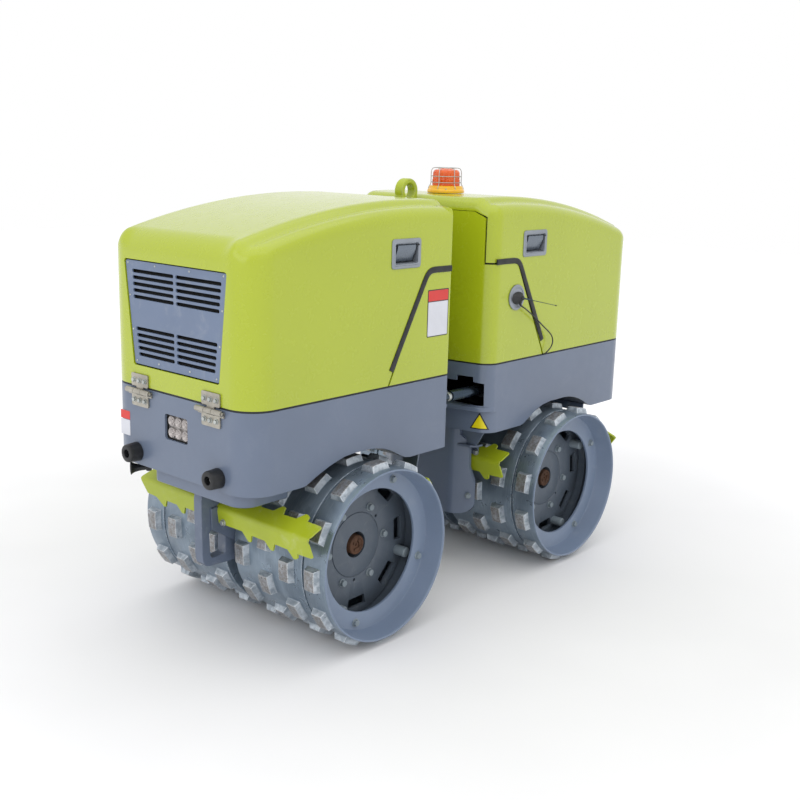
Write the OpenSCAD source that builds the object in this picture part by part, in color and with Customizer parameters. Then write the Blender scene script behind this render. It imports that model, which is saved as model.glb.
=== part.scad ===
// Articulated padfoot trench roller: two half units joined by a
// steering and oscillation joint, each standing on a left and a right
// padded drum. +X is the grille end, +Y the machine's left, +Z up.
// The origin is on the ground, below the middle of its length.
// Heights in the source are above a base plane 305 mm below the axles.

/* [Overall] */
// Drum axle distance from the steering pin, both units
axle_x = 517; // [505:1:535]
// Height of the tub floor at the sides
tub_z0 = 558; // [545:1:565]
// Top of the tubs, where hoods and bulkheads start
tub_z1 = 799; // [790:1:810]
// Half width of tubs and hoods
body_hw = 326; // [310:1:326]
// Outer end of the front unit
front_end = 981; // [960:1:1010]
// Outer end of the rear unit
rear_end = 975; // [960:1:990]
// Joint side of the front unit
front_joint = 136; // [125:1:140]
// Joint side of the rear unit at its middle
rear_joint = 50; // [50:1:60]

/* [Drums] */
// Radius over the pads
pad_r = 290; // [286:1:300]
// Radius of the drum shell
shell_r = 270; // [265:1:275]
// Inner edge of each drum
drum_y0 = 25; // [24:1:30]
// Bolted seam between drum and extension ring
seam_y = 330; // [325:1:332]
// Outer lip of the extension ring
drum_y1 = 425; // [420:1:430]
// Pads in each row
pads = 12; // [12:1:12]
// Pad width across the drum
pad_w = 46; // [40:1:50]
// Thickness of the drum shell
shell_t = 14; // [10:1:18]

/* [Hoods] */
// Height of the hood crown at its ridges
crown_z = 1362; // [1350:1:1370]
// Radius of the hood's long crown
crown_r = 2450; // [2300:10:2600]
// Wall thickness of hoods and bulkheads
skin = 6; // [4:1:8]
// Gap round hoods and covers
gap = 6; // [5:1:8]
// Height of the hood hinge pins
hinge_z = 790; // [788:1:792]
// Hood opening angle
hood_open = 60; // [30:1:60]

/* [Joint] */
// Height of the oscillation shaft
osc_z = 655; // [650:1:660]
// Radius of the steering pin
steer_pin_r = 24; // [20:1:26]
// Height of the steering cylinder
cyl_z = 702; // [700:1:705]
// Distance of the steering cylinder from the middle
cyl_y = 255; // [250:1:258]

/* [Lifting eye] */
// Radius of the eye's bore
eye_bore_r = 24; // [20:1:26]
// Outer radius of the eye
eye_r = 42; // [40:1:44]
// Height of the bore
eye_z = 1372; // [1368:1:1376]
// Thickness of the eye plate
eye_t = 36; // [30:1:40]

/* [Hidden] */

lime = "#b2c440";
grey = "#7a8090";
steel = "#8f8c84";
black = "#1a1d20";
drum_grey = "#6b7078";

// pads stand in three rows on the drum and one on the extension:
// [middle of the row, share of a pitch that it is turned by]
pad_rows = [[68, 0], [168, 0.5], [266, 0], [375, 0]];
pitch = 360 / pads;
pad_half = 6.1;                       // half a pad's length, degrees
pad_turn = -pad_half / 2;             // the drum rests on half a pad's flat
axle_z = 305;
ground = axle_z - pad_r * cos(pad_half / 2);

// the origin is below the middle of the overall length
pin_x = (rear_end - front_end) / 2;
module from_pin() translate([pin_x, 0, -ground]) children();

// a closed outline from corners [x, y, radius]
function corner_arc(a, b, c, r, n) =
    let (u = (a - b) / norm(a - b), v = (c - b) / norm(c - b),
         h = acos(u * v) / 2, m = (u + v) / norm(u + v),
         o = b + m * r / sin(h),
         p = b + u * r / tan(h), q = b + v * r / tan(h),
         s = atan2(p[1] - o[1], p[0] - o[0]),
         e0 = atan2(q[1] - o[1], q[0] - o[0]),
         d = (e0 - s > 180) ? e0 - s - 360 : (e0 - s < -180) ? e0 - s + 360 : e0 - s)
    [for (i = [0 : n]) o + r * [cos(s + d * i / n), sin(s + d * i / n)]];
function xy(p) = [p[0], p[1]];
function rounded(pts, n = 6) = [for (i = [0 : len(pts) - 1])
    let (k = len(pts), b = pts[i])
    each (b[2] == 0 ? [xy(b)] :
        corner_arc(xy(pts[(i + k - 1) % k]), xy(b), xy(pts[(i + 1) % k]), b[2], n))];

// ---- units, drawn with x running from the joint to the outer end ----
// plan of a unit's tub and hood, pulled in by d
function front_plan(d) = rounded([
    [front_joint + d, -body_hw + d, 10], [front_end - d, -body_hw + d, 90 - d],
    [front_end - d, body_hw - d, 90 - d], [front_joint + d, body_hw - d, 10]]);
function rear_plan(d) = rounded([
    [rear_joint + d, -150, 0], [rear_joint + 32 + d * 1.1, -body_hw + d, 40 - d],
    [rear_end - d, -body_hw + d, 90 - d], [rear_end - d, body_hw - d, 90 - d],
    [rear_joint + 32 + d * 1.1, body_hw - d, 40 - d], [rear_joint + d, 150, 0]]);

// tub underside with its drum arch, [x, z]; up is the lift of the floor
function front_floor(up) = [[100, tub_z0 + up], [320, tub_z0 + up],
    [364, 577 + up], [410, 597 + up], [458, 611 + up], [510, 619 + up],
    [570, 620 + up], [633, 612 + up], [675, 602 + up], [725, 582 + up],
    [775, tub_z0 + up], [1100, tub_z0 + up]];
function rear_floor(up) = [[0, tub_z0 + up], [290, tub_z0 + up],
    [344, 584 + up], [406, 611 + up], [471, 620 + up], [560, 620 + up],
    [610, 614 + up], [660, 600 + up], [706, 580 + up], [742, tub_z0 + up],
    [1100, tub_z0 + up]];

module side_cut(pts, y0, y1)          // outline in x and z, from y0 to y1
    translate([0, y1, 0]) rotate([90, 0, 0])
        linear_extrude(y1 - y0) polygon(pts);

module tub(plan0, plan1, floor0, floor1, end_x)
    difference() {
        intersection() {
            translate([0, 0, 500]) linear_extrude(tub_z1 - 500) polygon(plan0);
            side_cut(concat(floor0, [[1100, 900], [0, 900]]), -400, 400);
        }
        intersection() {
            translate([0, 0, 500]) linear_extrude(400) polygon(plan1);
            side_cut(concat(floor1, [[1100, 900], [0, 900]]), -400, 400);
        }
    }

// solid under the hood's skin: a crowned section swept round the long
// crown's axis and cut to the plan; d pulls it in
// section from the middle to the side: [y, height below the crown]
shoulder = [[0, -5], [200, -3], [240, 0], [254, 2], [264, 6], [271, 15],
    [278, 20], [298, 22], [310, 26], [319, 34], [324, 46], [326, 60]];
module crown(xa, plan, d, z0) {
    half = concat([for (p = shoulder) [crown_r - p[1] - d, min(p[0] * body_hw / 326, body_hw - d)]],
                  [[crown_r - 700, body_hw - d]]);
    section = concat(half,
        [for (i = [len(half) - 1 : -1 : 0]) [half[i][0], -half[i][1]]]);
    intersection() {
        translate([0, 0, z0]) linear_extrude(1500 - z0) polygon(plan);
        translate([xa, 0, crown_z - crown_r]) rotate([-90, 0, 0])
            rotate_extrude($fn = 360) polygon(section);
    }
}

// what the fixed bulkhead takes out of the hood's shell; g shrinks it
module bulkhead_zone(corner_x, foot_x, joint_x, g) {
    slope = (foot_x - corner_x) / (1148 - tub_z1);
    side_cut(rounded([[-50, 700, 0], [foot_x + slope * 99 - g * 1.1, 700, 0],
        [corner_x - g * 1.2, 1148 - g, 34], [-50, 1148 - g, 0]]), -400, 400);
    translate([-50, -296 + g, 700])
        cube([joint_x + 100, 592 - 2 * g, 1314 - 700 - g]);
}
module front_shell() difference() {
    crown(270, front_plan(0), 0, tub_z1);
    crown(270, front_plan(skin), skin, tub_z1 - 60);
}
module rear_shell() difference() {
    crown(190, rear_plan(0), 0, tub_z1);
    crown(190, rear_plan(skin), skin, tub_z1 - 60);
}
module latch_holes(x0) for (y = [-1, 1])
    translate([x0, y * body_hw - 20, 1165]) cube([122, 40, 78]);
module grille_hole(end_x, g) translate([end_x - 30, 0, 0]) rotate([90, 0, 90])
    linear_extrude(60) polygon([[-190 - g, 876 - g], [190 + g, 876 - g],
        [222 + g, 1170 + g], [-222 - g, 1170 + g]]);
module hood_skin(front) difference() {
    if (front) front_shell(); else rear_shell();
    translate([0, -400, tub_z1 - 50]) cube([1100, 800, 50 + gap]);
    if (front) bulkhead_zone(264, 433, front_joint, 0);
    else bulkhead_zone(226, 407, rear_joint, 0);
    latch_holes(front ? 300 : 252);
    grille_hole(front ? front_end : rear_end, 0);
}
module bulkhead(front) intersection() {
    if (front) front_shell(); else rear_shell();
    if (front) bulkhead_zone(264, 433, front_joint, gap);
    else bulkhead_zone(226, 407, rear_joint, gap);
}
// a louvred panel, let into the hood's end
module grille(end_x) difference() {
    translate([end_x - 12, 0, 0]) rotate([90, 0, 90]) linear_extrude(8)
        polygon([[-190, 876], [190, 876], [222, 1170], [-222, 1170]]);
    for (i = [0 : 4], y = [-1, 1]) {
        translate([end_x - 30, y > 0 ? 8 : -192 - 0, 1134 - i * 23.5]) cube([40, 184 + 8, 12]);
        translate([end_x - 30, y > 0 ? 8 : -180, 966 - i * 23.5]) cube([40, 172, 12]);
    }
}
module latches(x0) for (y = [-1, 1]) mirror([0, y < 0 ? 1 : 0, 0])
    translate([x0 + 1, body_hw - 19, 1166]) difference() {
        union() {
            cube([120, 19, 76]);
            translate([-6, 19.3, -6]) cube([132, 3, 88]);
            translate([0, 18, 0]) cube([120, 3, 76]);
        }
        translate([15, 4, 12]) cube([90, 30, 52]);
    }

// hood hinge: leaves on the tub, straps on the hood; knuckles share a pin
module hinge_leaves(end_x) for (y = [-165, 165]) {
    difference() {
        translate([end_x + 0.3, y - 39, hinge_z - 45]) cube([6, 78, 43]);
        translate([end_x, y - 17.5, hinge_z - 12]) cube([12, 35, 20]);
    }
    for (k = [-55, 19]) translate([end_x + 11, y + k, hinge_z])
        rotate([-90, 0, 0]) difference() {
            cylinder(r = 9, h = 36, $fn = 48);
            translate([0, 0, -1]) cylinder(r = 4, h = 38, $fn = 32);
        }
    translate([end_x + 11, y - 58, hinge_z]) rotate([-90, 0, 0])
        cylinder(r = 4, h = 116, $fn = 32);
}
module hinge_straps(end_x) for (y = [-165, 165]) difference() {
    union() {
        translate([end_x + 0.3, y - 16, hinge_z]) cube([6, 32, 12]);
        translate([end_x + 0.3, y - 39, hinge_z + 12]) cube([6, 78, 38]);
        translate([end_x + 11, y - 16, hinge_z]) rotate([-90, 0, 0])
            cylinder(r = 9, h = 32, $fn = 48);
    }
    translate([end_x + 11, y - 17, hinge_z]) rotate([-90, 0, 0])
        cylinder(r = 4.05, h = 34, $fn = 32);
}

// padded drum, centred on its axle, for the left side
module pad_row(y, t) translate([0, y + pad_w / 2, 0]) rotate([90, 0, 0])
    linear_extrude(pad_w) difference() {
        polygon([for (i = [0 : pads - 1], k = [0 : 4])
            let (a = (i + t) * pitch + pad_turn,
                 r = (k == 0 || k == 4) ? shell_r - 4 : pad_r,
                 b = a + [-pad_half - 1.5, -pad_half, 0, pad_half, pad_half + 1.5][k])
            [r * cos(b), r * sin(b)]]);
        circle(r = shell_r - 8, $fn = 120);
    }
module drum() {
    rotate([-90, 0, 0]) rotate_extrude($fn = 180) polygon([
        [shell_r, drum_y0], [shell_r, seam_y - 2], [shell_r - 5, seam_y - 2],
        [shell_r - 5, seam_y + 2], [shell_r, seam_y + 2], [shell_r, drum_y1],
        [shell_r - 7, drum_y1], [252, 360], [252, 357], [194, 357], [194, 345],
        [shell_r - shell_t, 345], [shell_r - shell_t, drum_y0 + 14],
        [150, drum_y0 + 14], [150, drum_y0]]);
    for (r = pad_rows) pad_row(r[0], r[1]);
}
// closing plate with eight windows, hub disc and a deep centre hole
module hub() rotate([-90, 0, 0]) {
    difference() {
        translate([0, 0, 272]) cylinder(r = shell_r - shell_t, h = 14, $fn = 120);
        translate([0, 0, 260]) cylinder(r = 96, h = 40, $fn = 96);
        for (a = [0 : 45 : 315]) rotate(a + 2.2) translate([194, 0, 260])
            linear_extrude(40) polygon([[-17, -35], [15, -41], [17, 0], [15, 41], [-17, 35]]);
    }
    difference() {
        translate([0, 0, 250]) cylinder(r = 96, h = 46, $fn = 96);
        translate([0, 0, 262]) cylinder(r = 42, h = 40, $fn = 64);
    }
    difference() {
        translate([0, 0, 60]) cylinder(r = 70, h = 190, $fn = 64);
        translate([0, 0, 50]) cylinder(r = 40.06, h = 184, $fn = 64);
    }
}

// leg between the drums with the axle stubs and a foot plate that
// fits the tub's underside
module carrier(floor_pts) {
    difference() {
        union() {
            side_cut(rounded([[-90, 200, 60], [90, 200, 60], [90, 640, 0],
                [-90, 640, 0]]), -18, 18);
            translate([-60, -60, 600]) cube([120, 120, 40]);
        }
        side_cut([for (p = concat(floor_pts, [[1100, 900], [0, 900]]))
            [p[0] - axle_x, p[1]]], -400, 400);
    }
    translate([0, -228, axle_z]) rotate([-90, 0, 0]) cylinder(r = 40, h = 456, $fn = 64);
}

module front_tub() color(grey) from_pin() difference() {
    union() {
        tub(front_plan(0), front_plan(10), front_floor(0), front_floor(10));
        // step below the tub's outer end
        translate([0, 0, 512]) linear_extrude(tub_z0 - 512 + 5) polygon(rounded([
            [780, -145, 0], [958, -145, 0], [958, 265, 55], [780, 265, 0]]));
    }
    translate([front_end - 12, -54, 664]) cube([20, 108, 78]);
    // hole for the joint housing
    translate([front_joint - 5, 0, osc_z]) rotate([0, 90, 0]) cylinder(r = 66, h = 30, $fn = 64);
}
module front_bulkhead() color(lime) from_pin() bulkhead(true);
module engine_block() color("#303336") from_pin() translate([330, -200, 630]) cube([430, 400, 520]);
module work_light(end_x) translate([end_x - 12, -53, 665]) cube([10, 106, 76]);
module front_work_light() color("#c8ccd0") from_pin() work_light(front_end);
module buffers(end_x) for (y = [-191, 191]) translate([end_x, y, 598])
    rotate([0, 90, 0]) difference() {
        cylinder(r1 = 30, r2 = 27, h = 42, $fn = 48);
        translate([0, 0, 30]) cylinder(r = 12, h = 20, $fn = 32);
    }
module front_buffers() color(black) from_pin() buffers(front_end);
module horn() color(black) from_pin() translate([917, -228, 528]) {
    rotate([0, 90, -30]) rotate_extrude($fn = 48)
        polygon([[0, 0], [8, 0], [9, 12], [10, 28], [13.5, 42], [21, 55], [18.5, 55], [10, 42], [7, 28], [0, 28]]);
    translate([-2, -7, 4]) cube([14, 14, 26]);
}
module front_carrier() color(grey) from_pin() translate([axle_x, 0, 0]) {
    carrier(front_floor(0));
    side_loop(905 - axle_x);
}
// arm, loop and post of the tie-down bracket at the unit's outer end
module side_loop(xe) difference() {
    side_cut(rounded([[60, 250, 0], [xe - 4, 250, 34], [xe, 470, 30], [xe, 512, 0],
        [xe - 150, 512, 0], [xe - 150, 360, 0], [60, 330, 0]]), -18, 18);
    side_cut(rounded([[xe - 90, 284, 8], [xe - 32, 284, 14], [xe - 32, 372, 8],
        [xe - 90, 366, 8]]), -30, 30);
}
// toothed angle plates, folded along the drum; the teeth stand between
// the pad rows, on the lower leaf and on the upper one next to the drum
angle = [[3.2, 1.3], [-55.6, 48.8], [-59.4, 44.2], [-3.2, -1.3], [-13.3, -72.8], [-7.3, -73.7]];
// what is cut from each leaf, along the drum and away from the fold; v is
// the middle of the end's notch or point, t lists the teeth
module leaf_cuts(side, v, t, y0) {
    n = len(t) - 1;
    if (side > 0) {
        polygon([[v, -4], [v, 0], [v + 15, 49], [v + 12, 53], [v - 46, 54],
            [v - 55, 74], [v - 55, 96], [v + 60, 96], [v + 60, -4]]);
        polygon([[y0 - 20, 48], [t[0] - 30, 47], [t[0] - 6, 72], [t[0] - 6, 96], [y0 - 20, 96]]);
    } else {
        polygon([[v - 60, -4], [v, -4], [v, 0], [v + 30, 46], [v + 75, 49],
            [t[0] - 6, 72], [t[0] - 6, 96], [v - 60, 96]]);
        polygon([[t[n] + 16, 50], [-y0 + 30, 51], [-y0 + 30, 96], [t[n] + 5, 96], [t[n] + 5, 72]]);
    }
    if (n > 0) for (i = [1 : n]) polygon([[t[i - 1] + 16, 50], [t[i] - 30, 51], [t[i] - 6, 73],
        [t[i] - 6, 96], [t[i - 1] + 5, 96], [t[i - 1] + 5, 72]]);
}
module scraper(side, v, t, y0) difference() {
    translate([0, side > 0 ? v + 14 : -y0, 0]) rotate([90, 0, 0])
        linear_extrude(side > 0 ? v + 14 - y0 : -y0 - v) polygon(angle);
    translate([-40, 0, 0]) rotate([90, 0, 90]) linear_extrude(80)
        mirror([0, 1]) leaf_cuts(side, v, t, y0);
    rotate([0, -51, 0]) translate([-40, 0, 0]) rotate([90, 0, 90]) linear_extrude(80)
        leaf_cuts(side, v, t, y0);
}
// plates at the drum's joint side, on hangers that reach up to z1
module inner_scrapers(z1) {
    translate([axle_x * 2 - 850, 0, 434]) mirror([1, 0, 0]) {
        scraper(1, 312, [55, 154, 252], 18);
        scraper(-1, -306, [-193, -98], 18);
    }
    for (m = [0, 1]) mirror([0, m, 0])
        translate([axle_x * 2 - 852, 178, 434]) cube([8, 58, z1 - 434]);
}
module front_scrapers() color(lime) from_pin() {
    // left and right plate; their ends are cut differently
    translate([850, 0, 438]) scraper(1, 416, [159, 258, 356], 18);
    translate([850, 0, 449]) scraper(-1, -365, [-252, -157, -62], 18);
    inner_scrapers(tub_z0);
}
module front_hinge_leaves() color(steel) from_pin() hinge_leaves(front_end);
module joint_housing() color(grey) from_pin() translate([0, 0, osc_z]) rotate([0, 90, 0]) difference() {
    union() {
        translate([0, 0, front_joint - 26]) cylinder(r = 64, h = 120, $fn = 64);
        translate([0, 0, front_joint + 10.3]) cylinder(r = 84, h = 14, $fn = 64);
    }
    translate([0, 0, front_joint - 30]) cylinder(r = 38, h = 104, $fn = 64);
}

module front_hood() color(lime) from_pin() hood_skin(true);
module front_grille() color(grey) from_pin() grille(front_end);
module front_hood_latches() color("#8a8f98") from_pin() latches(300);
module front_hood_straps() color(steel) from_pin() hinge_straps(front_end);

module front_left_drum() color(drum_grey) from_pin() translate([axle_x, 0, axle_z]) drum();
module front_left_hub() color("#5a5d66") from_pin() translate([axle_x, 0, axle_z]) hub();
module front_right_drum() color(drum_grey) from_pin() translate([axle_x, 0, axle_z]) mirror([0, 1, 0]) drum();
module front_right_hub() color("#5a5d66") from_pin() translate([axle_x, 0, axle_z]) mirror([0, 1, 0]) hub();

// knuckle: oscillation shaft along x, steering eye round z, cylinder arm
module joint_knuckle() color(steel) from_pin() {
    translate([0, 0, osc_z]) rotate([0, 90, 0]) {
        translate([0, 0, 60]) cylinder(r = 37.95, h = 140, $fn = 64);
        translate([0, 0, 28]) cylinder(r = 50, h = 68, $fn = 64);
    }
    difference() {
        translate([0, 0, osc_z - 52]) cylinder(r = 44, h = 104, $fn = 64);
        translate([0, 0, osc_z - 60]) cylinder(r = steer_pin_r + 0.05, h = 120, $fn = 64);
    }
    for (z = [cyl_z - 28, cyl_z + 16]) translate([0, 0, z]) linear_extrude(12)
        polygon(rounded([[60, 20, 0], [90, 20, 0], [114, 200, 0], [114, cyl_y + 26, 22],
            [66, cyl_y + 26, 22], [66, 200, 0]]));
    translate([60, 18, osc_z - 20]) cube([28, 40, cyl_z + 28 - osc_z + 20]);
}

module rear_side() mirror([1, 0, 0]) children();
module rear_tub() color(grey) from_pin() rear_side() difference() {
    union() {
        tub(rear_plan(0), rear_plan(10), rear_floor(0), rear_floor(10));
        translate([0, 0, 512]) linear_extrude(tub_z0 - 512 + 5) polygon(rounded([
            [745, -150, 0], [953, -150, 40], [953, 150, 40], [745, 150, 0]]));
    }
    // stepped opening for the steering cylinder
    translate([30, 130, 655]) cube([90, 187, 88]);
    translate([30, 130, 700]) cube([90, 139, 58]);
    translate([rear_end - 12, -54, 664]) cube([20, 108, 78]);
}
module rear_bulkhead() color(lime) from_pin() rear_side() bulkhead(false);
module hydraulic_block() color("#303336") from_pin() translate([-700, -220, 630]) cube([330, 350, 420]);
module rear_work_light() color("#c8ccd0") from_pin() rear_side() work_light(rear_end);
module rear_buffers() color(black) from_pin() rear_side() buffers(rear_end);
module rear_carrier() color(grey) from_pin() rear_side() translate([axle_x, 0, 0]) {
    carrier(rear_floor(0));
    side_loop(887 - axle_x);
}
module rear_scrapers() color(lime) from_pin() rear_side() {
    translate([850, 0, 423]) mirror([0, 1, 0]) {
        scraper(1, 416, [159, 258, 356], 18);
        scraper(-1, -391, [-278, -183, -88], 18);
    }
    inner_scrapers(480);
}
module rear_hinge_leaves() color(steel) from_pin() rear_side() hinge_leaves(rear_end);
// fork round the steering eye, welded to the rear tub
module joint_fork() color(grey) from_pin() {
    for (z = [osc_z - 87, osc_z + 57]) translate([0, 0, z]) {
        cylinder(r = 48, h = 30, $fn = 64);
        translate([-rear_joint, -60, 0]) cube([20, 120, 30]);
        linear_extrude(30) polygon([[-30, -60], [0, -48], [0, 48], [-30, 60]]);
    }
    translate([0, 0, osc_z - 95]) cylinder(r = steer_pin_r, h = 182, $fn = 64);
}
// bent plate below the joint, between the drums of both units, with a
// shelf and a gusset that hold each inner scraper
module joint_guard() color(grey) from_pin() {
    difference() {
        translate([0, 0, 222]) linear_extrude(tub_z0 - 222) polygon(
            [[-120, -150], [-120, 150], [-174, 219], [-182, 213], [-130, 146],
             [-130, -146], [-182, -213], [-174, -219]]);
        // lower corners rounded off, waist and narrow top
        for (m = [0, 1]) mirror([0, m, 0]) translate([-300, 0, 0]) rotate([90, 0, 90])
            linear_extrude(300) {
                difference() {
                    translate([169, 200]) square([90, 77]);
                    translate([169, 272]) circle(r = 50, $fn = 48);
                }
                polygon([[260, 333], [218, 333], [198, 400], [198, 492], [166, 504], [166, 620], [260, 620]]);
            }
    }
    for (m = [0, 1]) mirror([0, m, 0]) {
        translate([-190, 152, 480]) cube([60, 82, 8]);
        translate([-160, 0, 0]) rotate([90, 0, 90]) linear_extrude(8)
            polygon([[150, 488], [233, 488], [262, 541], [266, tub_z0], [150, tub_z0]]);
    }
}
module lifting_eye() color(lime) from_pin() translate([-2, 0, 0]) difference() {
    union() {
        translate([0, eye_t / 2, eye_z]) rotate([90, 0, 0]) cylinder(r = eye_r, h = eye_t, $fn = 64);
        side_cut([[-42, eye_z], [-30, osc_z + 87], [42, osc_z + 87], [42, eye_z]], -eye_t / 2, eye_t / 2);
    }
    translate([0, eye_t, eye_z]) rotate([90, 0, 0]) cylinder(r = eye_bore_r, h = 2 * eye_t, $fn = 64);
}

// radio antenna on the left side panel; its cable runs into the seam
ant = [-218, body_hw, 1024];
cable_r = 2.25;
// from the seam under the hood's corner up to the antenna's boot
cable_pts = [[-404, 316, 802], [-404, 322, 802], [-404, 328, 803], [-405, 333.5, 806.5],
    [-409, 337.5, 812], [-415.5, 340, 818], [-423, 341.5, 825], [-429.5, 343, 834],
    [-432.5, 344, 845], [-431.5, 344, 856], [-427, 344, 866], [-419.5, 343.5, 875],
    [-409, 343, 884], [-392, 342.5, 896], [-372, 342, 909], [-352, 341.5, 923],
    [-332, 341, 937], [-312, 341, 949.5], [-292, 341.5, 961.5], [-272, 342, 973],
    [-254, 342, 983], [-243, 342, 988.5], [-234, 341.5, 993], [-228, 341, 997],
    [-225, 341, 1001], [-224, 341, 1005]];
module antenna_plate() color(grey) from_pin() translate(ant) rotate([-90, 0, 0])
    cylinder(r = 44, h = 4, $fn = 64);
module antenna_whip() color(black) from_pin() {
    translate(ant + [0, 4, 0]) rotate([-90, 0, 0]) cylinder(r1 = 24, r2 = 10, h = 20, $fn = 48);
    // the whip leans back and down a little
    translate(ant + [0, 20, 0]) rotate([0, 100.7, 129.1]) {
        cylinder(r = 3, h = 32, $fn = 32);
        translate([0, 0, 30]) cylinder(r = 1.2, h = 90, $fn = 24);
        translate([0, 0, 118]) cylinder(r = 2.2, h = 12, $fn = 24);
    }
    // boot that the cable leaves by
    translate([-224, 341, 1005]) cylinder(r = 4.5, h = 12, $fn = 32);
}
function ring(p, q, r, n) = let (d = (q - p) / norm(q - p), side = [0.5, -0.7, 0.5],
    a = cross(d, side) / norm(cross(d, side)), b = cross(d, a))
    [for (i = [0 : n - 1]) r * (cos(360 * i / n) * a + sin(360 * i / n) * b)];
module cable_tube(pts, r, n) {
    m = len(pts);
    rings = [for (i = [0 : m - 1]) let (p = pts[max(i - 1, 0)], q = pts[min(i + 1, m - 1)])
        each [for (o = ring(p, q, r, n)) pts[i] + o]];
    polyhedron(rings, concat([[for (k = [0 : n - 1]) k]],
        [for (i = [0 : m - 2], k = [0 : n - 1], h = [0, 1])
            let (a = i * n + k, b = i * n + (k + 1) % n)
            h == 0 ? [a, a + n, b + n] : [a, b + n, b]],
        [[for (k = [n - 1 : -1 : 0]) (m - 1) * n + k]]));
}
module antenna_cable() color(black) from_pin() cable_tube(cable_pts, cable_r, 8);

module rear_hood() color(lime) from_pin() rear_side() hood_skin(false);
module rear_grille() color(grey) from_pin() rear_side() grille(rear_end);
module rear_hood_latches() color("#8a8f98") from_pin() rear_side() latches(252);
module rear_hood_straps() color(steel) from_pin() rear_side() hinge_straps(rear_end);
module beacon_base() color("#f0a030") from_pin() translate([-215, 0, 1367.3]) cylinder(r1 = 66, r2 = 58, h = 21, $fn = 64);
module beacon_lens() color("#e8501c") from_pin() translate([-215, 0, 1388.3]) cylinder(r = 49, h = 60, $fn = 64);

module rear_left_drum() color(drum_grey) from_pin() translate([-axle_x, 0, axle_z]) rotate([0, 45, 0]) drum();
module rear_left_hub() color("#5a5d66") from_pin() translate([-axle_x, 0, axle_z]) rotate([0, 49, 0]) hub();
module rear_right_drum() color(drum_grey) from_pin() translate([-axle_x, 0, axle_z]) rotate([0, 45, 0]) mirror([0, 1, 0]) drum();
module rear_right_hub() color("#5a5d66") from_pin() translate([-axle_x, 0, axle_z]) rotate([0, 49, 0]) mirror([0, 1, 0]) hub();

// steering cylinder, from the rear tub to the knuckle's arm
module steering_barrel() color(black) from_pin() translate([-430, cyl_y, cyl_z]) difference() {
    union() {
        rotate([0, 90, 0]) translate([0, 0, 20]) cylinder(r = 30, h = 280, $fn = 48);
        translate([0, 0, -20]) cylinder(r = 26, h = 40, $fn = 48);
    }
    rotate([0, 90, 0]) translate([0, 0, 24]) cylinder(r = 18.55, h = 320, $fn = 48);
    translate([0, 0, -30]) cylinder(r = 12, h = 60, $fn = 48);
}
module steering_rod() color("#c0c4c8") from_pin() translate([90, cyl_y, cyl_z]) {
    rotate([0, -90, 0]) cylinder(r = 13, h = 60, $fn = 48);
    translate([-52, 0, 0]) rotate([0, -90, 0]) cylinder(r = 18.5, h = 311, $fn = 48);
    translate([0, 0, -11]) cylinder(r = 21, h = 22, $fn = 48);
}

front_tub();
front_bulkhead();
engine_block();
front_work_light();
front_buffers();
horn();
front_carrier();
front_scrapers();
front_hinge_leaves();
joint_housing();
front_hood();
front_grille();
front_hood_latches();
front_hood_straps();
front_left_drum();
front_left_hub();
front_right_drum();
front_right_hub();
joint_knuckle();
rear_tub();
rear_bulkhead();
hydraulic_block();
rear_work_light();
rear_buffers();
rear_carrier();
rear_scrapers();
rear_hinge_leaves();
joint_fork();
joint_guard();
lifting_eye();
antenna_plate();
antenna_whip();
antenna_cable();
rear_hood();
rear_grille();
rear_hood_latches();
rear_hood_straps();
beacon_base();
beacon_lens();
rear_left_drum();
rear_left_hub();
rear_right_drum();
rear_right_hub();
steering_barrel();
steering_rod();
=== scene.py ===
import bpy, bmesh, math, random
from math import sin, cos, pi, radians, sqrt, hypot, atan2
from mathutils import Vector, Matrix


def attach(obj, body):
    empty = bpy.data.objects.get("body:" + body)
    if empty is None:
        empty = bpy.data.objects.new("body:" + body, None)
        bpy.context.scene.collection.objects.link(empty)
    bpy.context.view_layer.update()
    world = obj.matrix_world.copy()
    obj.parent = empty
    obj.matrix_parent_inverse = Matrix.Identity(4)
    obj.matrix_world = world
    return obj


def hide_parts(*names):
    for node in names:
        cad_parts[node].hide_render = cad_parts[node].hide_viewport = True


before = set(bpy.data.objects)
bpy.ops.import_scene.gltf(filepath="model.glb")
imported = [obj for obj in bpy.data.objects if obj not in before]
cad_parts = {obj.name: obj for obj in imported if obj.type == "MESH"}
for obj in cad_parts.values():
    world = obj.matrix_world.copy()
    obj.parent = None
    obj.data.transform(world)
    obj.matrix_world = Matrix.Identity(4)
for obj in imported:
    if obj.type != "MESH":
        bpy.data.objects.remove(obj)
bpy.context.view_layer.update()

PX = -3.0                       # the steering pin's x in the row frame, mm
GZ = 305 - 290 * cos(radians(3.05))   # the ground above the base plane, mm
C = bpy.context


# ---------------------------------------------------------------- camera
def camera():
    cam = bpy.data.cameras.new("camera")
    cam.sensor_width = 36
    cam.lens = 1106.86 * 36 / 800
    cam.clip_start, cam.clip_end = 0.05, 60
    ob = bpy.data.objects.new("camera", cam)
    C.scene.collection.objects.link(ob)
    az, el, roll = radians(41.31), radians(12.98), 0.0272
    back = Vector((cos(az) * cos(el), sin(az) * cos(el), sin(el)))
    right = (-back).cross(Vector((0, 0, 1))).normalized()
    up = right.cross(-back)
    r2 = right * cos(roll) + up * sin(roll)
    u2 = up * cos(roll) - right * sin(roll)
    m = Matrix((r2, u2, back)).transposed().to_4x4()
    m.translation = Vector((2.8834, 2.5361, 1.5243 - GZ / 1000))
    ob.matrix_world = m
    C.scene.camera = ob
    return ob


cam = camera()
C.scene.view_settings.view_transform = 'Standard'
C.scene.view_settings.look = 'None'


# ------------------------------------------------------------- materials
def link(nt, a, b):
    nt.links.new(a, b)


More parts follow.
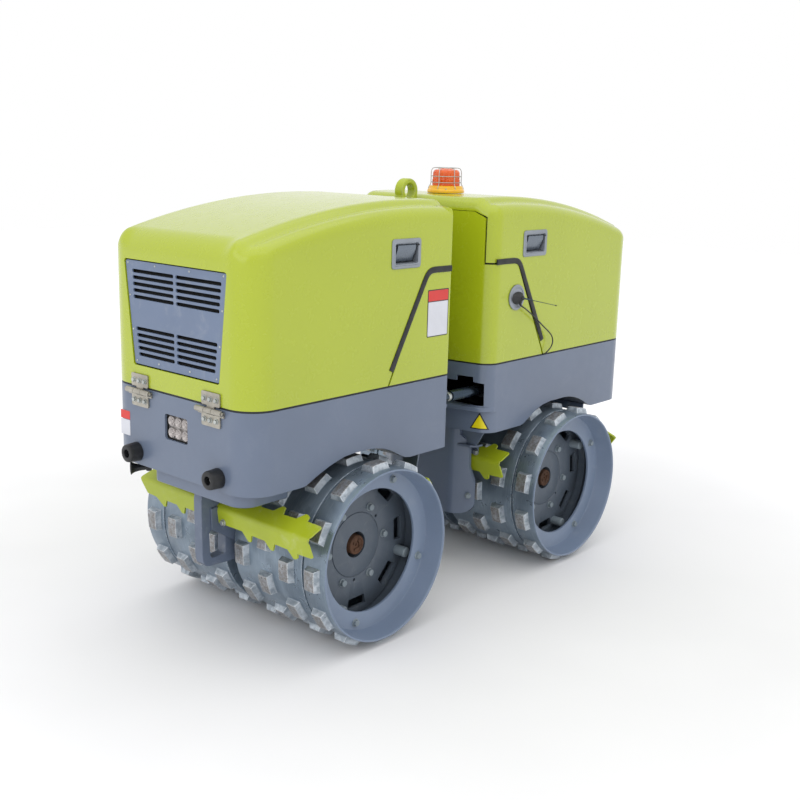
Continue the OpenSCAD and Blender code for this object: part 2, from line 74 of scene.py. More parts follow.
class Mat:
    """A procedural material: colour variation, roughness variation, bump."""

    def __init__(s, name):
        s.m = bpy.data.materials.new(name)
        s.m.use_nodes = True
        s.nt = s.m.node_tree
        s.b = s.nt.nodes["Principled BSDF"]
        s.tc = s.nt.nodes.new("ShaderNodeTexCoord")

    def node(s, kind, **k):
        n = s.nt.nodes.new(kind)
        for a, v in k.items():
            setattr(n, a, v)
        return n

    def noise(s, scale, detail=4, rough=0.55, dist=0.0, stretch=None):
        n = s.node("ShaderNodeTexNoise")
        n.inputs["Scale"].default_value = scale
        n.inputs["Detail"].default_value = detail
        n.inputs["Roughness"].default_value = rough
        n.inputs["Distortion"].default_value = dist
        if stretch:
            mp = s.node("ShaderNodeMapping")
            mp.inputs["Scale"].default_value = stretch
            link(s.nt, s.tc.outputs["Object"], mp.inputs["Vector"])
            link(s.nt, mp.outputs["Vector"], n.inputs["Vector"])
        else:
            link(s.nt, s.tc.outputs["Object"], n.inputs["Vector"])
        return n.outputs["Fac"]

    def ramp(s, fac, a, b, lo=0.0, hi=1.0):
        n = s.node("ShaderNodeMapRange")
        n.interpolation_type = 'SMOOTHSTEP'
        n.inputs["From Min"].default_value = a
        n.inputs["From Max"].default_value = b
        n.inputs["To Min"].default_value = lo
        n.inputs["To Max"].default_value = hi
        link(s.nt, fac, n.inputs["Value"])
        return n.outputs["Result"]

    def mix(s, fac, a, b):
        n = s.node("ShaderNodeMix", data_type='RGBA')
        link(s.nt, fac, n.inputs[0])
        for v, sock in ((a, n.inputs[6]), (b, n.inputs[7])):
            if hasattr(v, "links"):
                link(s.nt, v, sock)
            else:
                sock.default_value = (*v, 1)
        return n.outputs[2]

    def math(s, op, a, b):
        n = s.node("ShaderNodeMath", operation=op, use_clamp=True)
        for v, sock in ((a, n.inputs[0]), (b, n.inputs[1])):
            if hasattr(v, "links"):
                link(s.nt, v, sock)
            else:
                sock.default_value = v
        return n.outputs[0]

    def edge(s, radius, lo=0.02, hi=0.10):
        """1 at convex and concave edges, from the rounded normal."""
        bv = s.node("ShaderNodeBevel", samples=4)
        bv.inputs["Radius"].default_value = radius
        g = s.node("ShaderNodeNewGeometry")
        d = s.node("ShaderNodeVectorMath", operation='DOT_PRODUCT')
        link(s.nt, bv.outputs[0], d.inputs[0])
        link(s.nt, g.outputs["Normal"], d.inputs[1])
        n = s.node("ShaderNodeMapRange")
        n.inputs["From Min"].default_value = 1 - lo
        n.inputs["From Max"].default_value = 1 - hi
        link(s.nt, d.outputs["Value"], n.inputs["Value"])
        return n.outputs["Result"]

    def attr(s, name):
        n = s.node("ShaderNodeAttribute", attribute_name=name)
        return n.outputs["Fac"]

    def up(s, lo=0.2, hi=0.9):
        g = s.node("ShaderNodeNewGeometry")
        x = s.node("ShaderNodeSeparateXYZ")
        link(s.nt, g.outputs["Normal"], x.inputs[0])
        return s.ramp(x.outputs["Z"], lo, hi)

    def color(s, v):
        if hasattr(v, "links"):
            link(s.nt, v, s.b.inputs["Base Color"])
        else:
            s.b.inputs["Base Color"].default_value = (*v, 1)

    def rough(s, v, lo=None, hi=None):
        if lo is None:
            if hasattr(v, "links"):
                link(s.nt, v, s.b.inputs["Roughness"])
            else:
                s.b.inputs["Roughness"].default_value = v
        else:
            link(s.nt, s.ramp(v, 0.3, 0.7, lo, hi), s.b.inputs["Roughness"])

    def bump(s, h, strength, dist):
        prev = s.b.inputs["Normal"].links
        n = s.node("ShaderNodeBump")
        n.inputs["Strength"].default_value = strength
        n.inputs["Distance"].default_value = dist
        link(s.nt, h, n.inputs["Height"])
        if prev:
            link(s.nt, prev[0].from_socket, n.inputs["Normal"])
        link(s.nt, n.outputs["Normal"], s.b.inputs["Normal"])

    def set(s, **k):
        for a, v in k.items():
            s.b.inputs[a.replace("_", " ")].default_value = v
        return s


def srgb(r, g, b):
    def f(c):
        c /= 255
        return c / 12.92 if c <= 0.04045 else ((c + 0.055) / 1.055) ** 2.4
    return (f(r), f(g), f(b))


def tone(c, k):
    return tuple(min(1, x * k) for x in c)


def paint(name, col, r=(0.28, 0.42), var=0.07, peel=0.10, coat=0.25, dust=0.12,
          wear=None, metal=0.0, specks=0.35, scale=0.0006, painted_underside_shade=0.0):
    m = Mat(name)
    big = m.noise(3.5, 3, 0.5)
    c = m.mix(m.ramp(big, 0.35, 0.65), tone(col, 1 - var), tone(col, 1 + var))
    # fine specks and thin road dust in broad patches
    sp = m.noise(420, 2, 0.6)
    c = m.mix(m.ramp(sp, 0.66, 0.78, 0, specks), c, tone(col, 0.72))
    if dust:
        d = m.noise(14, 6, 0.7, 0.6)
        c = m.mix(m.ramp(d, 0.52, 0.8, 0, dust), c, (0.62, 0.60, 0.55))
    if wear:
        e = m.math('MULTIPLY', m.edge(wear[0], 0.01, 0.08),
                   m.ramp(m.noise(55, 5, 0.75), wear[2], wear[2] + 0.14))
        c = m.mix(e, c, wear[1])
    if painted_underside_shade:
        # painted shade: down-facing faces darkened towards 0.30 of the colour, in slightly patchy strength
        d = m.math('MULTIPLY', m.up(-0.30, -0.75), m.ramp(m.noise(9, 5, 0.65), 0.20, 0.60, painted_underside_shade * 0.7, painted_underside_shade))
        c = m.mix(d, c, tone(col, 0.30))
    m.color(c)
    m.rough(m.noise(26, 5, 0.65, 0.4), *r)
    m.bump(m.noise(260, 2, 0.5), peel, scale)
    m.set(Metallic=metal, Coat_Weight=coat, Coat_Roughness=0.12)
    return m.m


LIME = srgb(164, 178, 28)
GREY = srgb(98, 110, 131)
M = {}
M["lime"] = paint("lime_paint", LIME, (0.22, 0.29), 0.015, 0.02, 0.5, 0.0, specks=0.03, scale=0.0001)
M["lime_worn"] = paint("lime_paint_worn", LIME, (0.32, 0.5), 0.08, 0.12, 0.2, 0.22,
                       wear=(0.003, srgb(120, 122, 112), 0.50))
M["lime_eye"] = paint("lime_paint_eye", LIME, (0.32, 0.5), 0.08, 0.12, 0.2, 0.2,
                      wear=(0.006, srgb(150, 150, 145), 0.42))
M["grey"] = paint("grey_paint", GREY, (0.34, 0.44), 0.03, 0.08, 0.22, 0.03, specks=0.15, scale=0.0003, painted_underside_shade=0.85)
M["grey_worn"] = paint("grey_paint_worn", tone(GREY, 0.92), (0.38, 0.55), 0.08, 0.15, 0.12,
                       0.26, wear=(0.003, srgb(150, 152, 155), 0.56), painted_underside_shade=0.85)
M["hub"] = paint("hub_paint", srgb(84, 94, 106), (0.40, 0.55), 0.06, 0.12, 0.12, 0.12)
M["rim"] = paint("rim_paint", srgb(116, 131, 154), (0.34, 0.46), 0.05, 0.10, 0.2, 0.08, specks=0.2)
M["bolt"] = paint("bolt_paint", srgb(128, 140, 148), (0.36, 0.5), 0.08, 0.1, 0.1, 0.2,
                  wear=(0.002, srgb(165, 170, 170), 0.5))
M["grille"] = paint("grille_paint", srgb(101, 116, 142), (0.38, 0.5), 0.05, 0.12, 0.1, 0.16)


def metal_mat(name, col, r, var=0.15, scratch=0.2, metal=1.0, stain=0.0):
    m = Mat(name)
    a = m.noise(9, 6, 0.65, 0.5)
    c = m.mix(m.ramp(a, 0.35, 0.65), tone(col, 1 - var), tone(col, 1 + var))
    if stain:
        c = m.mix(m.ramp(m.noise(38, 6, 0.7, 0.8), 0.58, 0.74, 0, stain), c, srgb(96, 74, 52))
    m.color(c)
    m.rough(m.noise(60, 6, 0.7, 0.3), *r)
    m.bump(m.noise(160, 5, 0.6, 0, (1, 6, 1)), scratch, 0.0005)
    m.set(Metallic=metal)
    return m.m


def drum_mat():
    """Dull mill-finish shell: cloudy, streaked round the drum, scuffed."""
    m = Mat("drum_steel")
    cloud = m.noise(5, 4, 0.55, 0.6)
    c = m.mix(m.ramp(cloud, 0.30, 0.72), srgb(104, 118, 132), srgb(138, 153, 168))
    band = m.noise(26, 4, 0.6, 0.3, (1, 9, 1))
    c = m.mix(m.ramp(band, 0.50, 0.74, 0, 0.35), c, srgb(160, 174, 186))
    dirt = m.noise(12, 6, 0.68, 0.6)
    c = m.mix(m.ramp(dirt, 0.56, 0.74, 0, 0.35), c, srgb(78, 86, 92))
    e = m.math('MULTIPLY', m.edge(0.003, 0.01, 0.08), m.ramp(m.noise(70, 6, 0.7), 0.40, 0.55))
    c = m.mix(e, c, srgb(205, 214, 222))
    m.color(c)
    m.rough(m.noise(20, 5, 0.6, 0.3), 0.26, 0.42)
    m.bump(m.noise(90, 5, 0.6), 0.12, 0.0006)
    m.set(Metallic=0.55)
    return m.m


def pad_mat():
    """Pads: bright worn faces with dark, coarse cast patches."""
    m = Mat("pad_steel")
    a = m.noise(40, 5, 0.6, 0.4)
    c = m.mix(m.ramp(a, 0.36, 0.64), srgb(148, 158, 168), srgb(196, 204, 212))
    top = m.attr("top")
    grain = m.ramp(m.noise(95, 6, 0.72, 0.3), 0.36, 0.60)
    c = m.mix(m.math('MULTIPLY', top, m.math('ADD', m.math('MULTIPLY', grain, 0.55), 0.42)), c, srgb(128, 124, 122))
    e = m.math('MULTIPLY', m.edge(0.0035, 0.01, 0.09), m.ramp(m.noise(60, 5, 0.7), 0.26, 0.42))
    c = m.mix(e, c, srgb(238, 243, 248))
    base = m.attr("base")
    c = m.mix(m.math('MULTIPLY', base, 0.7), c, srgb(104, 118, 132))
    m.color(c)
    m.rough(m.noise(80, 6, 0.7, 0.4), 0.26, 0.50)
    m.bump(m.math('MULTIPLY', m.noise(210, 6, 0.75), m.math('ADD', m.math('MULTIPLY', top, 0.8), 0.2)), 0.4, 0.0014)
    m.set(Metallic=0.6)
    return m.m


M["drum"] = drum_mat()
M["pad"] = pad_mat()
M["galv"] = metal_mat("hinge_steel", srgb(172, 168, 158), (0.34, 0.55), 0.14, 0.25, 0.85)
M["latch"] = metal_mat("latch_metal", srgb(146, 152, 160), (0.30, 0.46), 0.06, 0.10, 0.75)
M["latch_pan"] = metal_mat("latch_pan", srgb(112, 120, 130), (0.24, 0.36), 0.04, 0.08, 0.8)
M["zinc"] = metal_mat("zinc_bolt", srgb(178, 182, 180), (0.28, 0.45), 0.14, 0.15, 0.9)
M["rust"] = metal_mat("rusty_steel", srgb(84, 58, 42), (0.7, 0.9), 0.35, 0.7, 0.25, 0.4)
M["cast"] = metal_mat("cast_steel", srgb(84, 88, 92), (0.5, 0.7), 0.18, 0.5, 0.4, 0.25)
M["chrome"] = metal_mat("chrome_rod", srgb(62, 74, 86), (0.20, 0.30), 0.06, 0.03, 0.9)


def plain(name, col, r, var=0.12, bump=(180, 0.15, 0.0005), dust=0.0, **k):
    m = Mat(name)
    c = m.mix(m.ramp(m.noise(12, 5, 0.6, 0.3), 0.35, 0.65), tone(col, 1 - var), tone(col, 1 + var))
    if dust:
        c = m.mix(m.ramp(m.noise(30, 6, 0.7, 0.5), 0.5, 0.75, 0, dust), c, (0.42, 0.42, 0.40))
    m.color(c)
    m.rough(m.noise(45, 5, 0.6), *r)
    m.bump(m.noise(bump[0], 4, 0.6), bump[1], bump[2])
    m.set(**k)
    return m.m


M["rubber"] = plain("buffer_rubber", srgb(16, 18, 22), (0.34, 0.52), 0.2, (300, 0.25, 0.0005), 0.03)
M["seal"] = plain("seal_rubber", srgb(24, 26, 28), (0.45, 0.62), 0.15, (420, 0.2, 0.0003), 0.04)
# near-black stand-in for shade: painted shade behind the grilles, round the lamp recesses, in slots and gaps and on the
# deck inside
M["dark"] = plain("painted_shade_black", srgb(14, 15, 16), (0.75, 0.9), 0.2)
M["plastic"] = plain("black_plastic", srgb(28, 30, 33), (0.32, 0.48), 0.15, (500, 0.2, 0.0003), 0.05)
M["cable"] = plain("cable_sheath", srgb(26, 28, 30), (0.36, 0.5), 0.12, (260, 0.12, 0.0002), 0.04)
M["engine"] = plain("engine_paint", srgb(52, 55, 60), (0.45, 0.6), 0.2, (140, 0.3, 0.0008), 0.12, Metallic=0.2)
M["alu"] = metal_mat("cast_aluminium", srgb(150, 152, 154), (0.42, 0.6), 0.12, 0.5, 0.9)
M["label_w"] = plain("label_white", srgb(206, 208, 216), (0.35, 0.45), 0.03, (90, 0.05, 0.0003), 0.06)
M["label_r"] = plain("label_red", srgb(206, 52, 48), (0.35, 0.45), 0.05, (90, 0.05, 0.0003))
M["label_k"] = plain("label_black", srgb(34, 32, 34), (0.35, 0.45), 0.05, (90, 0.05, 0.0003))
M["sign"] = plain("sign_yellow", srgb(224, 208, 10), (0.35, 0.45), 0.05, (90, 0.05, 0.0003))
M["base_y"] = plain("beacon_base_plastic", srgb(244, 182, 22), (0.25, 0.4), 0.06, (220, 0.08, 0.0003),
                    0.0, Subsurface_Weight=0.15, Coat_Weight=0.3)
M["lamp_led"] = plain("lamp_cell", srgb(176, 170, 168), (0.10, 0.22), 0.10, (240, 0.3, 0.0008), 0.0, Metallic=0.35)
M["lamp_glass"] = plain("lamp_bezel", srgb(150, 146, 144), (0.2, 0.35), 0.10, (200, 0.1, 0.0004), 0.0, Metallic=0.5)


def lens_mat():
    m = Mat("beacon_lens_plastic")
    c = m.mix(m.ramp(m.noise(18, 3, 0.5), 0.3, 0.7), srgb(222, 80, 0), srgb(236, 100, 2))
    m.color(c)
    m.rough(m.noise(40, 4, 0.6), 0.10, 0.2)
    m.bump(m.noise(200, 3, 0.5), 0.06, 0.0004)
    m.set(Transmission_Weight=0.08, IOR=1.49, Coat_Weight=0.3, Coat_Roughness=0.05,
          Subsurface_Weight=0.05, Emission_Strength=0.03, Emission_Color=(*srgb(255, 100, 0), 1))
    return m.m


M["lens"] = lens_mat()


# ---------------------------------------------------------------- meshes
def to_row(p, unit):
    x, y, z = p
    if unit == 'R':
        x = -x
    return ((x + PX) / 1000, y / 1000, (z - GZ) / 1000)


class MB:
    """Collects closed solids in mm, in one unit's own frame."""

    def __init__(s):
        s.v, s.f, s.m = [], [], []
        s.layers = {}

    def add(s, vs, fs, m=0, **attrs):
        k = len(s.v)
        s.v += [tuple(p) for p in vs]
        s.f += [tuple(i + k for i in f) for f in fs]
        s.m += [m] * len(fs)
        for a, vals in attrs.items():
            s.layers.setdefault(a, {}).update({k + i: v for i, v in enumerate(vals)})
        return s

    def merge(s, o, tr=None, m=0):
        tr = tr or (lambda p: p)
        k = len(s.v)
        s.v += [tuple(tr(p)) for p in o.v]
        s.f += [tuple(i + k for i in f) for f in o.f]
        s.m += [mm + m for mm in o.m]
        for a, d in o.layers.items():
            s.layers.setdefault(a, {}).update({k + i: v for i, v in d.items()})
        return s

    def prism(s, poly, axis, a0, a1, m=0):
        def P(u, v, w):
            return {'x': (w, u, v), 'y': (u, w, v), 'z': (u, v, w)}[axis]
        n = len(poly)
        vs = [P(u, v, a0) for u, v in poly] + [P(u, v, a1) for u, v in poly]
        fs = [tuple(range(n)), tuple(range(2 * n - 1, n - 1, -1))]
        fs += [(i, i + n, (i + 1) % n + n, (i + 1) % n) for i in range(n)]
        return s.add(vs, fs, m)

    def box(s, lo, hi, m=0):
        return s.prism([(lo[0], lo[1]), (hi[0], lo[1]), (hi[0], hi[1]), (lo[0], hi[1])],
                       'z', lo[2], hi[2], m)

    def revolve(s, prof, c, axis=(0, 1, 0), n=64, m=0, closed=True, ref=None):
        """prof: (r, h) along axis from c; r = 0 ends are poles."""
        a = Vector(axis).normalized()
        u = a.orthogonal().normalized() if ref is None else Vector(ref).normalized()
        w = a.cross(u)
        c = Vector(c)
        vs, idx = [], []
        for r, h in prof:
            if r <= 1e-6:
                idx.append([len(vs)] * n)
                vs.append(c + a * h)
            else:
                idx.append([len(vs) + i for i in range(n)])
                vs += [c + a * h + (u * cos(2 * pi * i / n) + w * sin(2 * pi * i / n)) * r
                       for i in range(n)]
        fs = []
        k = len(prof)
        for j in range(k if closed else k - 1):
            A, B = idx[j], idx[(j + 1) % k]
            for i in range(n):
                q = [A[i], A[(i + 1) % n], B[(i + 1) % n], B[i]]
                q2 = []
                for t in q:
                    if t not in q2:
                        q2.append(t)
                if len(q2) > 2:
                    fs.append(tuple(q2))
        return s.add(vs, fs, m)

    def cyl(s, c, axis, r, h, n=48, m=0, ch=0.0, r2=None):
        r2 = r if r2 is None else r2
        p = [(0, 0), (r, 0)]
        if ch:
            p += [(r2, h - ch), (r2 - ch, h), (0, h)]
        else:
            p += [(r2, h), (0, h)]
        return s.revolve(p, c, axis, n, m, closed=False)

    def hexhead(s, c, axis, r=9, h=8, m=0, washer=True, turn=0.0, dome=False):
        a = Vector(axis).normalized()
        u = a.orthogonal().normalized()
        w = a.cross(u)
        c = Vector(c)
        if washer:
            s.cyl(c - a * 0.4, a, r * 1.28, 2.4, 24, m, 0.5)
            c = c + a * 1.9
        if dome:
            s.revolve([(0, -0.5), (r, -0.5), (r, h * 0.55), (r * 0.86, h * 0.82),
                       (r * 0.55, h * 0.97), (0, h)], c, a, 24, m, closed=False)
            return s
        rings = [(r, -0.5), (r, h * 0.82), (r * 0.86, h)]
        vs, fs = [], []
        for k, (rr, hh) in enumerate(rings):
            vs += [c + a * hh + (u * cos(pi / 3 * i + turn) + w * sin(pi / 3 * i + turn)) * rr
                   for i in range(6)]
        for k in range(2):
            fs += [(k * 6 + i, k * 6 + (i + 1) % 6, k * 6 + 6 + (i + 1) % 6, k * 6 + 6 + i)
                   for i in range(6)]
        fs += [tuple(range(6)), tuple(range(12, 18))]
        return s.add(vs, fs, m)

    def tube(s, pts, r, n=12, m=0, closed=False, caps=True):
        P = [Vector(p) for p in pts]
        k = len(P)
        vs, fs = [], []
        t0 = None
        for i in range(k):
            if closed:
                t = (P[(i + 1) % k] - P[i - 1]).normalized()
            else:
                t = (P[min(i + 1, k - 1)] - P[max(i - 1, 0)]).normalized()
            if t0 is None:
                u = t.orthogonal().normalized()
            else:
                u = (u - t * u.dot(t)).normalized()
            w = t.cross(u)
            t0 = t
            rr = r[i] if isinstance(r, (list, tuple)) else r
            vs += [P[i] + (u * cos(2 * pi * j / n) + w * sin(2 * pi * j / n)) * rr for j in range(n)]
        for i in range(k if closed else k - 1):
            a, b = i * n, ((i + 1) % k) * n
            fs += [(a + j, a + (j + 1) % n, b + (j + 1) % n, b + j) for j in range(n)]
        if not closed and caps:
            fs += [tuple(range(n)), tuple(range((k - 1) * n, k * n))]
        return s.add(vs, fs, m)

    def loft(s, loops, m=0, caps=True, closed=False):
        n = len(loops[0])
        vs = [p for L in loops for p in L]
        fs = []
        k = len(loops)
        for i in range(k if closed else k - 1):
            a, b = i * n, ((i + 1) % k) * n
            fs += [(a + j, a + (j + 1) % n, b + (j + 1) % n, b + j) for j in range(n)]
        if caps and not closed:
            fs += [tuple(range(n)), tuple(range((k - 1) * n, k * n))]
        return s.add(vs, fs, m)

    def mesh(s, name, unit, merge=0.0, recalc=True):
        me = bpy.data.meshes.new(name)
        me.from_pydata([to_row(p, unit) for p in s.v], [], s.f)
        for i, p in enumerate(me.polygons):
            p.material_index = s.m[i]
        for a, d in s.layers.items():
            at = me.attributes.new(a, 'FLOAT', 'POINT')
            for i, v in d.items():
                at.data[i].value = v
        bm = bmesh.new()
        bm.from_mesh(me)
        if merge:
            bmesh.ops.remove_doubles(bm, verts=bm.verts, dist=merge / 1000)
        if recalc:
            bmesh.ops.recalc_face_normals(bm, faces=bm.faces)
        bm.to_mesh(me)
        bm.free()
        me.update()
        return me

    def obj(s, name, unit, body=None, mats=("grey",), bevel=0.0, seg=2, angle=32, merge=0.0,
            replaces=(), smooth=True, recalc=True):
        me = s.mesh(name, unit, merge, recalc)
        return put(name, me, body, mats, bevel, seg, angle, replaces, smooth)


def put(name, me, body=None, mats=("grey",), bevel=0.0, seg=2, angle=32, replaces=(), smooth=True):
    ob = bpy.data.objects.new(name, me)
    C.scene.collection.objects.link(ob)
    dress(ob, body, mats, bevel, seg, angle, replaces, smooth)
    return ob


def dress(ob, body, mats, bevel=0.0, seg=2, angle=32, replaces=(), smooth=True):
    me = ob.data
    idx = [p.material_index for p in me.polygons]
    me.materials.clear()
    for k in mats:
        me.materials.append(M[k])
    me.polygons.foreach_set("material_index", [min(i, len(mats) - 1) for i in idx])
    if smooth:
        me.shade_smooth()
    if bevel:
        b = ob.modifiers.new("bevel", 'BEVEL')
        b.width = bevel / 1000
        b.segments = seg
        b.limit_method = 'ANGLE'
        b.angle_limit = radians(angle)
        b.use_clamp_overlap = True
        w = ob.modifiers.new("normals", 'WEIGHTED_NORMAL')
        w.keep_sharp = True
    elif smooth:
        me.set_sharp_from_angle(angle=radians(angle))
    if body:
        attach(ob, body)
    for n in replaces:
        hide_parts(n)


def scratch(mb, unit, merge=0.0):
    me = mb.mesh("tool", unit, merge)
    ob = bpy.data.objects.new("tool", me)
    C.scene.collection.objects.link(ob)
    return ob


def drop(ob):
    me = ob.data
    bpy.data.objects.remove(ob)
    if me.users == 0:
        bpy.data.meshes.remove(me)


def boolean(ob, tools):
    """Applies (operation, tool object) pairs in turn; tools are removed."""
    for op, t in tools:
        md = ob.modifiers.new("bool", 'BOOLEAN')
        md.operation = op
        md.object = t
        md.solver = 'EXACT'
        dg = C.evaluated_depsgraph_get()
        dg.update()
        me = bpy.data.meshes.new_from_object(ob.evaluated_get(dg))
        old = ob.data
        ob.modifiers.clear()
        ob.data = me
        bpy.data.meshes.remove(old)
    for t in {t for _, t in tools}:
        drop(t)
    return ob


def rounded(pts, n=6):
    """Outline from corners (x, y, radius)."""
    out = []
    k = len(pts)
    for i, b in enumerate(pts):
        if not b[2]:
            out.append((b[0], b[1]))
            continue
        A, B, D = Vector(pts[i - 1][:2]), Vector(b[:2]), Vector(pts[(i + 1) % k][:2])
        u, v = (A - B).normalized(), (D - B).normalized()
        h = u.angle(v) / 2
        o = B + (u + v).normalized() * b[2] / sin(h)
        p, q = B + u * b[2] / math.tan(h), B + v * b[2] / math.tan(h)
        s0 = atan2(p.y - o.y, p.x - o.x)
        d = atan2(q.y - o.y, q.x - o.x) - s0
        while d > pi:
            d -= 2 * pi
        while d < -pi:
            d += 2 * pi
        out += [(o.x + b[2] * cos(s0 + d * j / n), o.y + b[2] * sin(s0 + d * j / n))
                for j in range(n + 1)]
    return out


def lerp(a, b, t):
    return a + (b - a) * t


def sstep(a, b, x):
    t = max(0.0, min(1.0, (x - a) / (b - a)))
    return t * t * (3 - 2 * t)


def table(pts, x):
    """Monotone smooth interpolation in a table of (x, y)."""
    if x <= pts[0][0]:
        return pts[0][1]
    for i in range(len(pts) - 1):
        if x <= pts[i + 1][0]:
            (x0, y0), (x1, y1) = pts[i], pts[i + 1]
            s = (y1 - y0) / (x1 - x0)

            def slope(j):
                if j <= 0 or j >= len(pts) - 1:
                    return 0.0
                a = (pts[j][1] - pts[j - 1][1]) / (pts[j][0] - pts[j - 1][0])
                b = (pts[j + 1][1] - pts[j][1]) / (pts[j + 1][0] - pts[j][0])
                return 0.0 if a * b <= 0 else 2 * a * b / (a + b)
            m0, m1 = slope(i), slope(i + 1)
            h = x1 - x0
            t = (x - x0) / h
            return ((2 * t ** 3 - 3 * t * t + 1) * y0 + (t ** 3 - 2 * t * t + t) * h * m0 +
                    (-2 * t ** 3 + 3 * t * t) * y1 + (t ** 3 - t * t) * h * m1)
    return pts[-1][1]


# ------------------------------------------------------------ the cord
cable_pts = [(-404, 316, 802), (-404, 322, 802), (-404, 328, 803), (-405, 333.5, 806.5),
             (-409, 337.5, 812), (-415.5, 340, 818), (-423, 341.5, 825), (-429.5, 343, 834),
             (-432.5, 344, 845), (-431.5, 344, 856), (-427, 344, 866), (-419.5, 343.5, 875),
             (-409, 343, 884), (-392, 342.5, 896), (-372, 342, 909), (-352, 341.5, 923),
             (-332, 341, 937), (-312, 341, 949.5), (-292, 341.5, 961.5), (-272, 342, 973),
             (-254, 342, 983), (-243, 342, 988.5), (-234, 341.5, 993), (-228, 341, 997),
             (-225, 341, 1001), (-224, 341, 1005)]


def smooth_path(pts, sub):
    """Catmull-Rom through the points."""
    P = [Vector(p) for p in pts]
    out = []
    for i in range(len(P) - 1):
        a, b, c, d = P[max(i - 1, 0)], P[i], P[i + 1], P[min(i + 2, len(P) - 1)]
        for k in range(sub):
            t = k / sub
            out.append(0.5 * ((2 * b) + (c - a) * t + (2 * a - 5 * b + 4 * c - d) * t * t +
                              (3 * b - a - 3 * c + d) * t ** 3))
    out.append(P[-1])
    return out


def antenna():
    route = smooth_path(cable_pts, 3)
    b = MB().tube(route, 2.25, 14)
    cable = b.obj("antenna_cable_sheath", 'P', "rear_frame", ("cable",), replaces=("antenna_cable",))
    # foot, spring section, whip and boot
    b = MB()
    X, Y, Z = -218, 330, 1024
    loops = []
    for t, sx, sz in ((0, 31, 21), (2.5, 32, 22), (6, 30, 20), (11, 24, 16.5), (16, 16, 13),
                      (20, 11, 10.5), (23, 9, 9), (25, 6.5, 6.5)):
        loops.append([(X + sx * cos(a) - (0 if t > 14 else (14 - t) * 0.3) * (1 if cos(a) < 0 else 0.2),
                       Y + t, Z + sz * sin(a) - (25 - t) * 0.10)
                      for a in [2 * pi * i / 40 for i in range(40)]])
    b.loft(loops, 0)
    b.revolve([(0, 0), (7.5, 0), (8, 1.5), (7.5, 4), (5, 6), (0, 6)], (X, Y + 23, Z), (0, 1, 0), 28, 0, closed=False)
    lean = Vector((-0.6197, 0.7627, -0.1851))
    foot = Vector((X, Y + 25, Z))

    def on(t):
        return tuple(foot + lean * t)
    b.revolve([(0, -4), (3.2, -4), (3.4, 0), (3.0, 3), (2.6, 15), (2.9, 17), (2.4, 23), (1.4, 25), (0, 25)],
              on(0), tuple(lean), 24, 1, closed=False)
    b.revolve([(0, 0), (1.35, 0), (1.2, 50), (1.0, 94), (0, 94)], on(22), tuple(lean), 16, 1, closed=False)
    b.revolve([(0, 0), (1.7, 0), (2.1, 1.5), (2.1, 4), (1.3, 6), (0, 6)], on(113), tuple(lean), 16, 0, closed=False)
    # boot that the cable leaves by, tapering along it
    k = len(route)
    tail = [route[i] for i in range(k - 13, k)] + [Vector((-224, 341, 1009)), Vector((-223.5, 341, 1015))]
    rr = [2.7 + (4.9 - 2.7) * (i / 12) ** 1.4 for i in range(13)] + [5.4, 5.4]
    b.tube(tail, rr, 18, 0)
    whip = b.obj("antenna_foot_and_whip", 'P', "rear_frame", ("plastic", "chrome"), angle=38,
                 replaces=("antenna_whip",))
    # steel disc on the panel
    b = MB()
    b.revolve([(0, 0), (42.5, 0), (44, 0.8), (44, 4.2), (42.6, 5.4), (36, 5.8), (35, 4.4), (31, 4.4),
               (30, 5.6), (0, 5.6)], (X, 326, Z), (0, 1, 0), 72, 0, closed=False)
    b.obj("antenna_disc", 'P', "rear_frame", ("latch",), angle=25, replaces=("antenna_plate",))


antenna()

# ------------------------------------------------------- hoods, bulkheads
S0 = [(0, 0), (228, 0), (244, -0.6), (254, 1.2), (262, 5.5), (269, 12), (275, 17.5), (281, 20),
      (290, 20.6), (300, 21.6), (326, 24)]
RINGS = [0, 0.7, 1.6, 3, 5, 7.5, 10.5, 14, 18, 22, 26, 30, 34, 38, 42, 46, 50, 54, 58, 62, 66, 71, 76]
UNIT = {'F': dict(x0=136, x1=981, rj=10, ro=90, cx=270, rollj=10, rollo=52),
        'R': dict(x0=50, x1=975, rj=42, ro=90, cx=190, rollj=38, rollo=55)}
HW = 326.0


def warp_x(unit, x, y):
    if unit == 'F':
        return x
    return x + 36 * (min(abs(y), 326) / 326) ** 2.5 * (1 - sstep(50, 260, x))


def roll_r(unit, nx, x, y):
    u = UNIT[unit]
    r = 34.0
    if nx > 0:
        end = lerp(u["rollo"], 30, sstep(205, 262, abs(y)))
        r = lerp(r, end, nx ** 2)
    else:
        r = lerp(r, u["rollj"], nx ** 2)
    return r


def crown_z(unit, x):
    u = UNIT[unit]
    return 1362 - (2450 - sqrt(2450 ** 2 - (x - u["cx"]) ** 2))


def skin_z(unit, x, y, d, nx, off=0.0):
    r = max(roll_r(unit, nx, x, y) - off * 0, 1)
    q = r - sqrt(max(0.0, 2 * r * d - d * d)) if d < r else 0.0
    return crown_z(unit, x) - table(S0, abs(y)) - q - off


